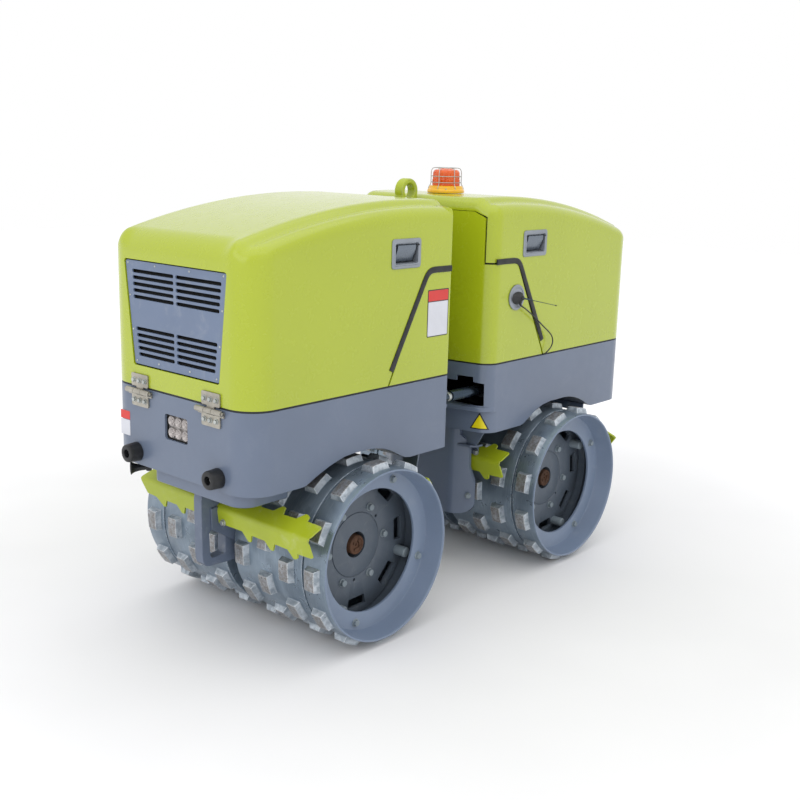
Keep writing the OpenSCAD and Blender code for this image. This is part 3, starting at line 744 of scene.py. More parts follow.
def ring_pts(unit, d, NS=72, NE=44, NC=18, NJ=8):
    """Plan outline pulled in by d: list of (x, y, nx)."""
    u = UNIT[unit]
    x0, x1 = u["x0"] + d, u["x1"] - d
    h = HW - d
    ro, rj = max(u["ro"] - d, 0.6), max(u["rj"] - d, 0.6)
    out = []
    # +y side from the joint to the outer end
    for i in range(NS):
        t = i / NS
        out.append((lerp(x0 + rj, x1 - ro, t), h, 0.0))
    for i in range(NC):
        a = pi / 2 * (1 - i / NC)
        out.append((x1 - ro + ro * cos(a), h - ro + ro * sin(a), cos(a)))
    for i in range(NE):
        out.append((x1, lerp(h - ro, -h + ro, i / NE), 1.0))
    for i in range(NC):
        a = -pi / 2 * (i / NC)
        out.append((x1 - ro + ro * cos(a), -h + ro + ro * sin(a), cos(a)))
    for i in range(NS):
        out.append((lerp(x1 - ro, x0 + rj, i / NS), -h, 0.0))
    for i in range(NJ):
        a = -pi / 2 - pi / 2 * (i / NJ)
        out.append((x0 + rj + rj * cos(a), -h + rj + rj * sin(a), cos(a)))
    for i in range(NE):
        out.append((x0, lerp(-h + rj, h - rj, i / NE), -1.0))
    for i in range(NJ):
        a = pi - pi / 2 * (i / NJ)
        out.append((x0 + rj + rj * cos(a), h - rj + rj * sin(a), cos(a)))
    return out


def shell_surface(unit, off=0.0, z_low=805.0, rings=RINGS):
    """Open surface of a hood from its lower rim over the crown."""
    NS, NE, NC, NJ = 72, 44, 18, 8
    verts, faces = [], []
    base = ring_pts(unit, off, NS, NE, NC, NJ)
    N = len(base)

    def put_ring(pts, zs):
        k = len(verts)
        for (x, y, nx), z in zip(pts, zs):
            verts.append((warp_x(unit, x, y), y, z))
        return k
    edge = [skin_z(unit, x, y, 0.0, nx, off) for x, y, nx in base]
    rows = []
    for t in (0, 0.02, 0.1, 0.22, 0.36, 0.5, 0.64, 0.78, 0.9, 0.97):
        rows.append(put_ring(base, [lerp(z_low, e, t) for e in edge]))
    for d in rings:
        pts = ring_pts(unit, off + d, NS, NE, NC, NJ)
        rows.append(put_ring(pts, [skin_z(unit, x, y, d, nx, off) for x, y, nx in pts]))
    for a, b in zip(rows, rows[1:]):
        for i in range(N):
            j = (i + 1) % N
            faces.append((a + i, a + j, b + j, b + i))
    # interior: rows across between matching side points
    last = rows[-1]
    A = [last + i for i in range(NS)] + [last + NS]            # +y side, to the corner's start
    oc1 = [last + NS + i for i in range(NC + 1)]               # outer +y corner
    end = [last + NS + NC + i for i in range(NE + 1)]          # outer end, +y to -y
    oc2 = [last + NS + NC + NE + i for i in range(NC + 1)]
    s2 = NS + 2 * NC + NE
    B = [last + s2 + i for i in range(NS + 1)]                 # -y side, back to the joint
    jc2 = [last + s2 + NS + i for i in range(NJ + 1)]
    js = s2 + NS + NJ
    jend = [last + js + i for i in range(NE + 1)]              # joint side, -y to +y
    jc1 = [last + (js + NE + i) % N for i in range(NJ + 1)]
    B = B[::-1]
    dd = rings[-1] + off
    grid = []
    for i in range(NS + 1):
        xa, ya = ring_pts(unit, dd, NS, NE, NC, NJ)[i][:2] if i < NS else (UNIT[unit]["x1"] - dd - max(UNIT[unit]["ro"] - dd, 0.6), HW - dd)
        row = [A[i]]
        for j in range(1, NE):
            y = lerp(ya, -ya, j / NE)
            nxx = 0.0
            z = crown_z(unit, xa) - table(S0, abs(y)) - off
            verts.append((warp_x(unit, xa, y), y, z))
            row.append(len(verts) - 1)
        row.append(B[i])
        grid.append(row)
    for r0, r1 in zip(grid, grid[1:]):
        for j in range(NE):
            faces.append((r0[j], r1[j], r1[j + 1], r0[j + 1]))
    for j in range(NE):
        faces.append((grid[-1][j], end[j], end[j + 1], grid[-1][j + 1]))
        faces.append((grid[0][j], grid[0][j + 1], jend[NE - j - 1], jend[NE - j]))
    faces.append(tuple(oc1[::-1]))
    faces.append(tuple(oc2[::-1]))
    faces.append(tuple(jc1[::-1]))
    faces.append(tuple(jc2[::-1]))
    return verts, faces, [rows[0] + i for i in range(N)]


def shell_solid(unit, off0, off1, z_low):
    """Closed shell between two offsets of a hood's surface."""
    v0, f0, rim0 = shell_surface(unit, off0, z_low)
    v1, f1, rim1 = shell_surface(unit, off1, z_low)
    k = len(v0)
    n = len(rim0)
    b = MB()
    fs = list(f0) + [tuple(i + k for i in f[::-1]) for f in f1]
    fs += [(rim0[i], rim0[(i + 1) % n], rim1[(i + 1) % n] + k, rim1[i] + k) for i in range(n)]
    b.add(v0 + v1, fs)
    return b


ZONE = {'F': (264, 433), 'R': (226, 407)}


def zone_outline(unit, g, low=700.0, shelf=1148.0):
    cx, fx = ZONE[unit]
    sl = (fx - cx) / (1148 - 799)
    return rounded([(-60, low, 0), (fx + sl * (799 - low) - g * 1.1, low, 0),
                    (cx - g * 1.2, shelf - g, 34), (-60, shelf - g, 0)], 10)


def zone(unit, g):
    """Space that the fixed bulkhead takes, shrunk by g."""
    b = MB()
    b.prism(zone_outline(unit, g), 'y', -400, 400)
    x0 = UNIT[unit]["x0"]
    t = scratch(b, unit)
    c = MB()
    w, z1, z2 = 294 - g, 1299 - 0.6 * g, 1316.5 - 0.3 * g
    c.prism([(-w, 700), (w, 700), (w, z1), (250 - 0.45 * g, z2), (-250 + 0.45 * g, z2), (-w, z1)],
            'x', -60, x0 + 58 - g)
    return boolean(t, [('UNION', scratch(c, unit))])


def grille_cut(unit, g):
    x1 = UNIT[unit]["x1"]
    return MB().prism(rounded([(-196 - g, 868 - g, 8), (196 + g, 868 - g, 8), (232 + g, 1178 + g, 8),
                               (-232 - g, 1178 + g, 8)], 4), 'x', x1 - 40, x1 + 40)


LATCH = {'F': (295, 427), 'R': (245, 384)}


def latch_cut(unit):
    b = MB()
    x0, x1 = LATCH[unit]
    for s in (-1, 1):
        b.prism(rounded([(x0 + 7, 1167, 5), (x1 - 7, 1167, 5), (x1 - 7, 1243, 5), (x0 + 7, 1243, 5)], 4),
                'y', s * 300, s * 360)
    return b


def hoods():
    for unit, nm in (('F', "front"), ('R', "rear")):
        ob = scratch(shell_solid(unit, 0.0, 6.0, 805.0), unit, 0.25)
        bk = ob.copy()
        bk.data = ob.data.copy()
        C.scene.collection.objects.link(bk)
        boolean(ob, [('DIFFERENCE', zone(unit, 0.0)), ('DIFFERENCE', scratch(latch_cut(unit), unit)),
                     ('DIFFERENCE', scratch(grille_cut(unit, 1.5), unit))])
        ob.name = nm + "_hood_shell"
        dress(ob, nm + "_hood", ("lime",), angle=32, replaces=(nm + "_hood",))
        boolean(bk, [('INTERSECT', zone(unit, 6.0))])
        bk.name = nm + "_bulkhead_shell"
        dress(bk, nm + "_frame", ("lime",), angle=32, replaces=(nm + "_bulkhead",))
        # near-black flange behind the gap round the bulkhead: painted shade in the gap
        fl = scratch(shell_solid(unit, 7.5, 10.5, 800.0), unit, 0.3)
        inner = zone(unit, 26.0)
        boolean(fl, [('INTERSECT', zone(unit, -12.0)), ('DIFFERENCE', inner)])
        fl.name = nm + "_seal_flange"
        dress(fl, nm + "_frame", ("dark",), angle=32)
        # rubber between tub and hood
        b = MB()
        o = [(warp_x(unit, x, y), y) for x, y, _ in ring_pts(unit, 3.0, 20, 12, 10, 4)]
        i_ = [(warp_x(unit, x, y), y) for x, y, _ in ring_pts(unit, 14.0, 20, 12, 10, 4)]
        loops = [[(x, y, 797.0) for x, y in o], [(x, y, 804.2) for x, y in o],
                 [(x, y, 804.2) for x, y in i_], [(x, y, 797.0) for x, y in i_]]
        b.loft(loops, 0, caps=False, closed=True)
        b.obj(nm + "_seam_rubber", unit, nm + "_frame", ("seal",), merge=0.05)


hoods()


def path_strip(pts, half, height, n=7):
    """D-shaped bead along a path in a plane (u, v), standing out along w."""
    P = [Vector((p[0], p[1])) for p in pts]
    loops = []
    for i, p in enumerate(P):
        t = (P[min(i + 1, len(P) - 1)] - P[max(i - 1, 0)]).normalized()
        nn = Vector((-t.y, t.x))
        L = [(p + nn * half, -1.0), (p + nn * half, height * 0.55)]
        for k in range(1, n):
            a = pi * k / n
            L.append((p + nn * half * cos(a) * 0.97, height * (0.55 + 0.45 * sin(a))))
        L += [(p - nn * half, height * 0.55), (p - nn * half, -1.0)]
        loops.append(L)
    return loops


def seals():
    spec = {'F': [(142, 1147), (180, 1147), (222, 1147.5), (238, 1146), (250, 1141), (259, 1133.5), (267, 1122),
                  (276, 1106), (417, 849)],
            'R': [(98, 1151), (150, 1151.5), (196, 1151), (212, 1149), (224, 1144), (233, 1136), (241, 1124),
                  (250, 1108), (388, 858)]}
    for unit, nm in (('F', "front"), ('R', "rear")):
        pts = spec[unit]
        fine = []
        for a, c in zip(pts, pts[1:]):
            k = max(1, int(hypot(c[0] - a[0], c[1] - a[1]) / 40))
            fine += [(lerp(a[0], c[0], i / k), lerp(a[1], c[1], i / k)) for i in range(k)]
        fine.append(pts[-1])
        b = MB()
        for s in (1, -1):
            loops = [[(p.x, s * (326 + h), p.y) for p, h in L] for L in path_strip(fine, 9.5, 4.0)]
            b.loft(loops, 0)
        b.obj(nm + "_side_seal", unit, nm + "_frame", ("seal",), angle=40)


seals()


def latches():
    for unit, nm in (('F', "front"), ('R', "rear")):
        x0, x1 = LATCH[unit]
        z0, z1 = 1160, 1250
        for s, sd in ((1, "left"), (-1, "right")):
            b = MB()

            def loop(dx, y, r=9, zz=0.0):
                return [(x, s * y, z) for x, z in rounded([(x0 + dx, z0 + dx, r), (x1 - dx, z0 + dx, r),
                                                          (x1 - dx, z1 - dx, r), (x0 + dx, z1 - dx, r)], 4)]
            # flange, its raised lip and the pan, as one formed sheet
            b.loft([loop(0, 325.4, 10), loop(0, 328.2, 10), loop(1.5, 329.6, 9), loop(9, 329.8, 7), loop(10.5, 331.4, 6),
                    loop(12.5, 331.6, 5), loop(14.5, 329.5, 5), loop(15.5, 322, 5), loop(18, 304, 6), loop(21, 301, 5),
                    ], 0, caps=False)
            b.add(loop(21, 301, 5), [tuple(range(20))], 1)
            b.loft([loop(0, 325.4, 10), loop(16, 325.4, 5), loop(19, 300, 6), loop(21, 299, 5)], 0, caps=False)
            b.add(loop(21, 299, 5), [tuple(range(20))], 1)
            # pull flap: a sheet leaning out of the pan, with a rolled lower lip
            prof = [(z1 - 19, 322), (z1 - 22, 325), (z1 - 30, 325.5), (z1 - 58, 313), (z1 - 64, 309), (z1 - 68, 309.5),
                    (z1 - 69, 312), (z1 - 66, 314), (z1 - 60, 316.5), (z1 - 32, 328), (z1 - 20, 328.5), (z1 - 17, 325)]
            xx0, xx1 = x0 + 25, x1 - 25
            b.prism([(s * y, z) for z, y in prof], 'x', xx0, xx1, 1)
            for cx in (x0 + 27, x1 - 27):
                b.cyl((cx, s * 318, z1 - 22), (1, 0, 0), 4.2, 3.0, 20, 0)
            # near-black slots at the upper corners: painted shade in place of openings
            for cx in (x0 + 17, x1 - 17):
                b.prism(rounded([(cx - 6, z1 - 22, 2), (cx + 6, z1 - 22, 2), (cx + 6, z1 - 18, 2), (cx - 6, z1 - 18, 2)], 3),
                        'y', s * 331.0, s * 332.0, 2)
            b.obj(f"{nm}_{sd}_latch", unit, nm + "_hood", ("latch", "latch_pan", "dark"), angle=30, merge=0.02,
                  replaces=(nm + "_hood_latches",) if s == 1 else ())


latches()


def grilles():
    for unit, nm in (('F', "front"), ('R', "rear")):
        x1 = UNIT[unit]["x1"]
        pl = MB()
        pl.prism(rounded([(-194, 870, 7), (194, 870, 7), (230, 1176, 7), (-230, 1176, 7)], 5), 'x', x1 - 9, x1 - 3)
        t = scratch(pl, unit)
        c = MB()

        def slot(y0, y1, z):
            r = 5.2
            pts = [(y0 + r + r * cos(a), z - r + r * sin(a)) for a in [pi / 2 + pi * k / 6 for k in range(7)]] + \
                  [(y1 - r + r * cos(a), z - r + r * sin(a)) for a in [-pi / 2 + pi * k / 6 for k in range(7)]]
            c.prism(pts, 'x', x1 - 30, x1 + 30)
        for i in range(5):
            z = 1150.8 - i * 18.9
            slot(-199 + i * 0.8, -4, z)
            slot(6, 207.5 - i * 2.4, z)
            z = 981.5 - i * 18.9
            w = 186 - i * 2.5
            slot(-w, -4, z)
            slot(6, w + 2, z)
        boolean(t, [('DIFFERENCE', scratch(c, unit))])
        t.name = nm + "_grille_plate"
        dress(t, nm + "_hood", ("grille",), 0.9, 2, 30, replaces=(nm + "_grille",))
        # louvre blades, duct and frame behind the plate, near-black as painted shade behind the slots
        b = MB()
        for i in range(5):
            for z, w in ((1150.8 - i * 18.9, 203), (981.5 - i * 18.9, 188)):
                b.prism([(x1 - 12, z - 11), (x1 - 12, z - 9.5), (x1 - 30, z + 5), (x1 - 31, z + 3.4)], 'y', -w, w)
        b.prism([(-206, 866), (206, 866), (236, 1180), (-236, 1180)], 'x', x1 - 44, x1 - 40)
        b.obj(nm + "_grille_duct", unit, nm + "_hood", ("dark",), angle=30)
        b = MB()
        for y, z in ((-218, 1168), (-88, 1167), (70, 1167), (218, 1168), (-211, 1073), (211, 1073), (-199, 973), (199, 973),
                     (-184, 880), (-78, 883), (66, 883), (184, 880)):
            b.revolve([(0, 0), (3.4, 0), (3.4, 0.8), (2.4, 1.9), (0, 2.2)], (x1 - 3.2, y, z), (1, 0, 0), 14, 0, closed=False)
        b.obj(nm + "_grille_screws", unit, nm + "_hood", ("zinc",), angle=30)


grilles()


def hinges():
    for unit, nm, end in (('F', "front", 981), ('R', "rear", 975)):
        up, lo = MB(), MB()
        for yc in (-165, 165):
            def leaf(b, z0, z1, turn, knuckles):
                # plate with a rolled edge round the pin
                x = end + 0.6
                b.prism(rounded([(yc - 40, z0, 5), (yc + 40, z0, 5), (yc + 40, z1, 5), (yc - 40, z1, 5)], 4), 'x', x, x + 5)
                for ya, yb in knuckles:
                    n = 22
                    turns = [pi + pi * 1.5 * k / n * turn for k in range(n + 1)]
                    roll = [(end + 11 + 8.6 * cos(t), 790 + 8.6 * sin(t)) for t in turns]
                    roll += [(end + 11 + 4.6 * cos(t), 790 + 4.6 * sin(t)) for t in turns[::-1]]
                    b.prism(roll, 'y', yc + ya, yc + yb)
                    # web from the roll to the leaf
                    z = 790 - 2 * turn
                    b.prism([(end + 0.7, z + 4 * turn), (end + 6.4, 790), (end + 5.6, 806 if turn < 0 else 776),
                             (end + 0.7, 806 if turn < 0 else 776)], 'y', yc + ya, yc + yb)
            leaf(up, 803, 842, -1, ((-16, 16),))
            leaf(lo, 743, 778, 1, ((-56, -17.5), (17.5, 56)))
            lo.cyl((end + 11, yc - 60, 790), (0, 1, 0), 4.4, 120, 24, 0, 1.0)
            for b, zz in ((up, (822,)), (lo, (762,))):
                for z in zz:
                    for dy in (-26, 0, 26):
                        b.hexhead((end + 5.6, yc + dy, z), (1, 0, 0), 6.6, 5.5, 1, turn=dy, dome=False)
        up.obj(nm + "_hinge_upper", unit, nm + "_hood", ("galv", "zinc"), 0.6, 2, 35, replaces=(nm + "_hood_straps",))
        lo.obj(nm + "_hinge_lower", unit, nm + "_frame", ("galv", "zinc"), 0.6, 2, 35, replaces=(nm + "_hinge_leaves",))


hinges()

# ------------------------------------------------------------------ tubs
FLOOR = {'F': [(100, 558), (316, 558), (340, 562), (364, 573), (388, 586), (412, 598), (440, 608), (474, 616), (510, 619.5), (570, 620),
               (610, 617), (645, 609), (675, 600), (702, 590), (727, 580), (750, 569), (770, 560), (784, 558), (1100, 558)],
         'R': [(0, 558), (284, 558), (305, 563), (330, 576), (356, 590), (385, 603), (420, 613.5), (471, 619.5), (560, 620),
               (595, 617), (628, 610), (656, 601), (682, 590), (706, 578), (728, 566), (742, 560), (752, 558), (1100, 558)]}


def tub_plan(unit, d, nc=14):
    return [(warp_x(unit, x, y), y) for x, y, _ in ring_pts(unit, d, 10 if unit == 'R' else 2, 14 if unit == 'R' else 2, nc, 5)]


def wall_x(y, d=13.0):
    """The rear unit's joint-side wall, set back by d."""
    a = min(abs(y), 326.0)
    return 50 + d + 36 * (a / 326) ** 2.5 + (42 - sqrt(42 ** 2 - (a - 284) ** 2) if a > 284 else 0.0)


def wall_tool(d, top):
    ys = [-326 + 6 * k for k in range(9)] + [lerp(-278, 278, k / 24) for k in range(1, 24)] + [326 - 6 * k for k in range(8, -1, -1)]
    return MB().prism([(-60, -335), (wall_x(326, d), -335)] + [(wall_x(y, d), y) for y in ys] +
                      [(wall_x(326, d), 335), (-60, 335)], 'z', 400, top)


def tubs():
    for unit, nm in (('F', "front"), ('R', "rear")):
        fl = FLOOR[unit]
        x1 = UNIT[unit]["x1"]
        # outer body: plan between the arched floor and the seam
        t = scratch(MB().prism(tub_plan(unit, 0.0), 'z', 500, 799), unit, 0.05)
        cut = scratch(MB().prism(fl + [(1100, 400), (0, 400)], 'y', -420, 420), unit)
        inner = scratch(MB().prism(tub_plan(unit, 9.0), 'z', 500, 840), unit, 0.05)
        up = [(x, z + 9) for x, z in fl] + [(1100, 400), (0, 400)]
        boolean(inner, [('DIFFERENCE', scratch(MB().prism(up, 'y', -420, 420), unit))])
        if unit == 'R':
            boolean(inner, [('DIFFERENCE', scratch(wall_tool(22.0, 641), unit))])
        ops = [('DIFFERENCE', cut), ('DIFFERENCE', inner)]
        # lamp recess with rounded corners
        ops.append(('DIFFERENCE', scratch(MB().prism(rounded([(-53, 665, 9), (53, 665, 9), (53, 741, 9), (-53, 741, 9)], 5),
                                                     'x', x1 - 30, x1 + 20), unit)))
        if unit == 'R':
            # stepped opening for the steering cylinder, and the set-back wall below its sill
            ops.append(('DIFFERENCE', scratch(MB().prism([(212, 652), (306, 656), (305, 734), (268, 738), (267, 755), (203, 754),
                                                          (203, 736), (150, 736), (150, 652)], 'x', 20, 112), unit)))
            ops.append(('DIFFERENCE', scratch(wall_tool(13.0, 633), unit)))
        else:
            ops.append(('DIFFERENCE', scratch(MB().cyl((130, 0, 655), (1, 0, 0), 66, 30, 48), unit)))
        boolean(t, ops)
        t.name = nm + "_tub_shell"
        dress(t, nm + "_frame", ("grey",), 3.2, 3, 38, replaces=(nm + "_tub",))
        # low pan below the outer end
        b = MB()
        if unit == 'F':
            pl = [(782, -145, 8), (957, -145, 20), (957, 265, 55), (782, 265, 8)]
        else:
            pl = [(746, -150, 8), (952, -150, 40), (952, 150, 40), (746, 150, 8)]
        o = rounded(pl, 9)
        b.loft([[(x, y, 566) for x, y in o], [(x, y, 516) for x, y in o],
                [(lerp(x, 865, 0.022), lerp(y, 60 if unit == 'F' else 0, 0.012), 512) for x, y in o]], 0)
        b.obj(nm + "_low_pan", unit, nm + "_frame", ("grey",), 2.5, 3, 32)
        if unit == 'R':
            # cross plate that closes the arch behind the drum
            b = MB()
            b.prism([(y, z) for y, z in rounded([(-298, 530, 12), (298, 530, 12), (298, 560, 0), (-298, 560, 0)], 5)], 'x', 738, 745)
            b.obj(nm + "_arch_plate", unit, nm + "_frame", ("grey_worn",), 1.0, 2, 35)
        # closed inside: deck under the hood, near-black as painted shade
        b = MB()
        b.prism(tub_plan(unit, 12.0), 'z', 640, 646)
        b.obj(nm + "_deck", unit, nm + "_frame", ("dark",), merge=0.05)
        # work light: bezel, six reflector cells
        b = MB()
        b.prism(rounded([(-52, 666, 8), (52, 666, 8), (52, 740, 8), (-52, 740, 8)], 5), 'x', x1 - 24, x1 - 14, 0)
        for iy in (-1, 0, 1):
            for iz in (-1, 1):
                c0 = (x1 - 14.5, iy * 32, 703 + iz * 17.5)
                b.revolve([(15.2, 0), (15.2, 6.5), (13.8, 7.5), (12.2, 6.6), (7.5, 1.2), (5.2, 0.6), (5.2, 0)], c0, (1, 0, 0), 28, 1)
                b.revolve([(0, 0), (5.0, 0), (5.0, 2.2), (3.6, 4.2), (0, 5.0)], c0, (1, 0, 0), 20, 1, closed=False)
        b.obj(nm + "_led_lamp", unit, nm + "_frame", ("lamp_glass", "lamp_led"), angle=28, replaces=(nm + "_work_light",))
        # near-black liner round the lamp recess: painted shade on the recess walls
        b = MB()
        o = rounded([(-53, 665, 9), (53, 665, 9), (53, 741, 9), (-53, 741, 9)], 5)
        i_ = rounded([(-51, 667, 8), (51, 667, 8), (51, 739, 8), (-51, 739, 8)], 5)
        b.loft([[(x1 - 26, y, z) for y, z in o], [(x1 - 8, y, z) for y, z in o], [(x1 - 8, y, z) for y, z in i_],
                [(x1 - 26, y, z) for y, z in i_]], 0, caps=False, closed=True)
        b.obj(nm + "_lamp_frame", unit, nm + "_frame", ("dark",), 0.5, 2, 35)
        # buffers
        b = MB()
        for y in (-191, 191):
            b.revolve([(0, -0.5), (28.5, -0.5), (29.8, 1.5), (29.4, 6), (27.6, 36), (26.0, 40), (22.5, 41.6), (14.5, 41.6),
                       (12.6, 40.0), (12.0, 36), (11.8, 22), (0, 22)], (x1, y, 598), (1, 0, 0), 56, 0, closed=False)
            b.hexhead((x1 + 22, y, 598), (1, 0, 0), 7.5, 5, 1, turn=0.4)
        b.obj(nm + "_buffer_pair", unit, nm + "_frame", ("rubber", "zinc"), angle=30, replaces=(nm + "_buffers",))


tubs()


# ----------------------------------------------------------------- drums
AXZ = 305.0
PADROWS = [(68, 0.0), (168, 0.5), (266, 0.0), (375, 0.0)]


def one_pad(b, y, a, rnd):
    """Tapered pad: flat arched top, sloping flanks, a narrow weld foot."""
    def P(ang, r, yy):
        t = radians(ang)
        return (r * cos(t), yy, r * sin(t))
    j = [rnd.uniform(-1, 1) for _ in range(8)]
    rings = [(264.0, 27.6, 7.9), (270.2, 27.4, 7.85), (272.4, 25.2, 7.35), (280, 22.6 + 0.2 * j[2], 6.95), (287.2, 20.3, 6.5),
             (289.3, 19.2 + 0.3 * j[0], 6.25 + 0.08 * j[1])]
    M_, N_ = 5, 8
    loops = []
    for r, w, h in rings:
        L = []
        cs = [(-1, -1), (1, -1), (1, 1), (-1, 1)]
        for k, (sa, sy) in enumerate(cs):
            na, ny = cs[(k + 1) % 4]
            n = N_ if sa != na else M_
            for q in range(n):
                t = q / n
                L.append(P(a + lerp(sa, na, t) * h, r, y + lerp(sy, ny, t) * w))
        loops.append(L)
    k = len(loops[0])
    vs = [p for L in loops for p in L]
    fs = []
    for i in range(len(loops) - 1):
        for q in range(k):
            fs.append((i * k + q, i * k + (q + 1) % k, i * k + k + (q + 1) % k, i * k + k + q))
    # worn top: a grid with shallow unevenness
    base = (len(loops) - 1) * k
    rt, wt, ht = rings[-1]
    grid = {}
    for iy in range(M_ + 1):
        for ia in range(N_ + 1):
            if iy == 0 and ia < N_:
                v = base + ia
            elif ia == N_ and iy < M_:
                v = base + N_ + iy
            elif iy == M_ and ia > 0:
                v = base + N_ + M_ + (N_ - ia)
            elif ia == 0 and iy > 0:
                v = base + 2 * N_ + M_ + (M_ - iy)
            else:
                v = len(vs)
                vs.append(P(a + lerp(-1, 1, ia / N_) * ht, rt + 0.25 + rnd.uniform(-0.35, 0.35), y + lerp(-1, 1, iy / M_) * wt))
            grid[iy, ia] = v
    for iy in range(M_):
        for ia in range(N_):
            fs.append((grid[iy, ia], grid[iy, ia + 1], grid[iy + 1, ia + 1], grid[iy + 1, ia]))
    fs.append(tuple(range(k)))
    top = [0.0] * base + [1.0] * (len(vs) - base)
    low = [1.0] * (2 * k) + [0.3] * k + [0.0] * (len(vs) - 3 * k)
    b.add(vs, fs, 0, top=top, base=low)


def drum_parts():
    rnd = random.Random(7)
    shell = MB()
    shell.revolve([(266, 25), (268.8, 25.6), (270, 27), (270, 140), (270.0, 240), (270, 324.5), (269.4, 326), (267, 327.4), (262, 328),
                   (262, 332), (267, 332.6), (269.4, 334), (270, 335.6), (270, 420), (268.5, 423.4), (266.5, 424.2), (265.5, 420), (265.5, 346),
                   (256, 344), (256, 41), (150, 41), (149, 40), (149, 26), (150, 25)], (0, 0, 0), (0, 1, 0), 180, 0)
    # flat band and weld line where the extension is bolted on
    pads = MB()
    for y, t in PADROWS:
        for i in range(12):
            one_pad(pads, y, (i + t) * 30 - 3.05, rnd)
    rim = MB()
    rim.revolve([(269.2, 421.5), (268.8, 424.0), (267.2, 425.0), (264.8, 424.6), (262.8, 422.4), (261.5, 418), (252.8, 362), (250.8, 358.2),
                 (248, 357), (199, 357), (196.2, 356.2), (195, 353.5), (195, 349), (197, 346.5), (205, 346), (247, 346), (255, 352), (258.6, 380),
                 (263.6, 412)], (0, 0, 0), (0, 1, 0), 180, 0)
    # wall behind the flat ring down to the closing plate
    rim.revolve([(252, 347), (252, 318), (236, 315), (236, 286), (255, 286), (257, 300), (257, 347)], (0, 0, 0), (0, 1, 0), 128, 1)
    rim.revolve([(230, 346.5), (230, 338), (226, 334), (226, 330), (252, 330), (252, 346.5)], (0, 0, 0), (0, 1, 0), 128, 1)
    bolts = MB()
    for i, a in enumerate((112, 199, 288, 24)):
        t = radians(a)
        bolts.hexhead((228 * cos(t), 357, 228 * sin(t)), (0, 1, 0), 10.5, 9, 0, turn=a)
    # round plug bosses between ring and plate
    for a in (199, 296):
        t = radians(a)
        c = (206 * cos(t), 300, 206 * sin(t))
        bolts.revolve([(0, -14), (17, -14), (17, 24.5), (16.2, 27), (14, 28.6), (10, 29), (0, 29)], c, (0, 1, 0), 32, 1, closed=False)
    return shell, pads, rim, bolts


def hub_parts():
    pl = MB()
    pl.revolve([(0, 272), (234, 272), (236, 274), (236, 284), (234.5, 286), (106, 286), (105, 285), (104.6, 283.4), (103.4, 283.4), (103, 285),
                (102, 286.6), (0, 286.6)], (0, 0, 0), (0, 1, 0), 128, 0, closed=False)
    me = pl.mesh("hub", 'P')
    ob = bpy.data.objects.new("hub", me)
    C.scene.collection.objects.link(ob)
    cut = MB()
    for k in range(8):
        a = radians(42.8 + 45 * k)
        poly = rounded([(177, -35, 3), (211, -42, 4), (211, 42, 4), (177, 35, 3)], 3)
        cut.prism([(x * cos(a) - y * sin(a), x * sin(a) + y * cos(a)) for x, y in poly], 'y', 260, 300)
    for a in (141, 272):
        t = radians(a)
        cut.cyl((116 * cos(t), 260, 116 * sin(t)), (0, 1, 0), 5.0, 40, 20)
    cut.cyl((0, 262, 0), (0, 1, 0), 42, 60, 64)
    boolean(ob, [('DIFFERENCE', scratch(cut, 'P'))])
    b = ob.modifiers.new("b", 'BEVEL')
    b.width, b.segments, b.limit_method, b.angle_limit = 0.0014, 2, 'ANGLE', radians(40)
    dg = C.evaluated_depsgraph_get()
    m2 = bpy.data.meshes.new_from_object(ob.evaluated_get(dg))
    drop(ob)
    out = MB()
    out.add([((v.co.x * 1000) - PX, v.co.y * 1000, v.co.z * 1000 + GZ) for v in m2.vertices], [tuple(p.vertices) for p in m2.polygons])
    bpy.data.meshes.remove(m2)
    bolts = MB()
    for a in (118, 177, 240, 298, 358, 58):
        t = radians(a)
        bolts.revolve([(0, 0), (13, 0), (13.4, 1), (13, 2.5), (10.6, 3), (10.6, 11), (9.4, 13), (5, 13.6), (0, 13.6)],
                      (125 * cos(t), 286, 125 * sin(t)), (0, 1, 0), 28, 0, closed=False)
    # drive motor face deep in the centre hole, with bearing housing behind
    core = MB()
    core.revolve([(0, 60), (70, 60), (70, 262), (66, 270), (44, 271.6), (43, 270), (43, 222), (41, 220), (0, 220)], (0, 0, 0), (0, 1, 0), 64, 0, closed=False)
    rust = MB()
    rust.revolve([(0, 216), (35, 216), (35, 262), (31.5, 266), (31.5, 288), (30, 291), (26, 292.5), (23, 292), (21.5, 290), (20, 290.2), (12, 290.5), (10.5, 287),
                  (4.5, 286.5), (3.6, 283), (0, 283)], (0, 0, 0), (0, 1, 0), 48, 0, closed=False)
    rnd = random.Random(3)
    for k in range(4):
        a = radians(30 + 90 * k)
        rust.hexhead((15.8 * cos(a), 290, 15.8 * sin(a)), (0, 1, 0), 4.2, 3.2, 0, washer=False, turn=rnd.random())
    return out, bolts, core, rust


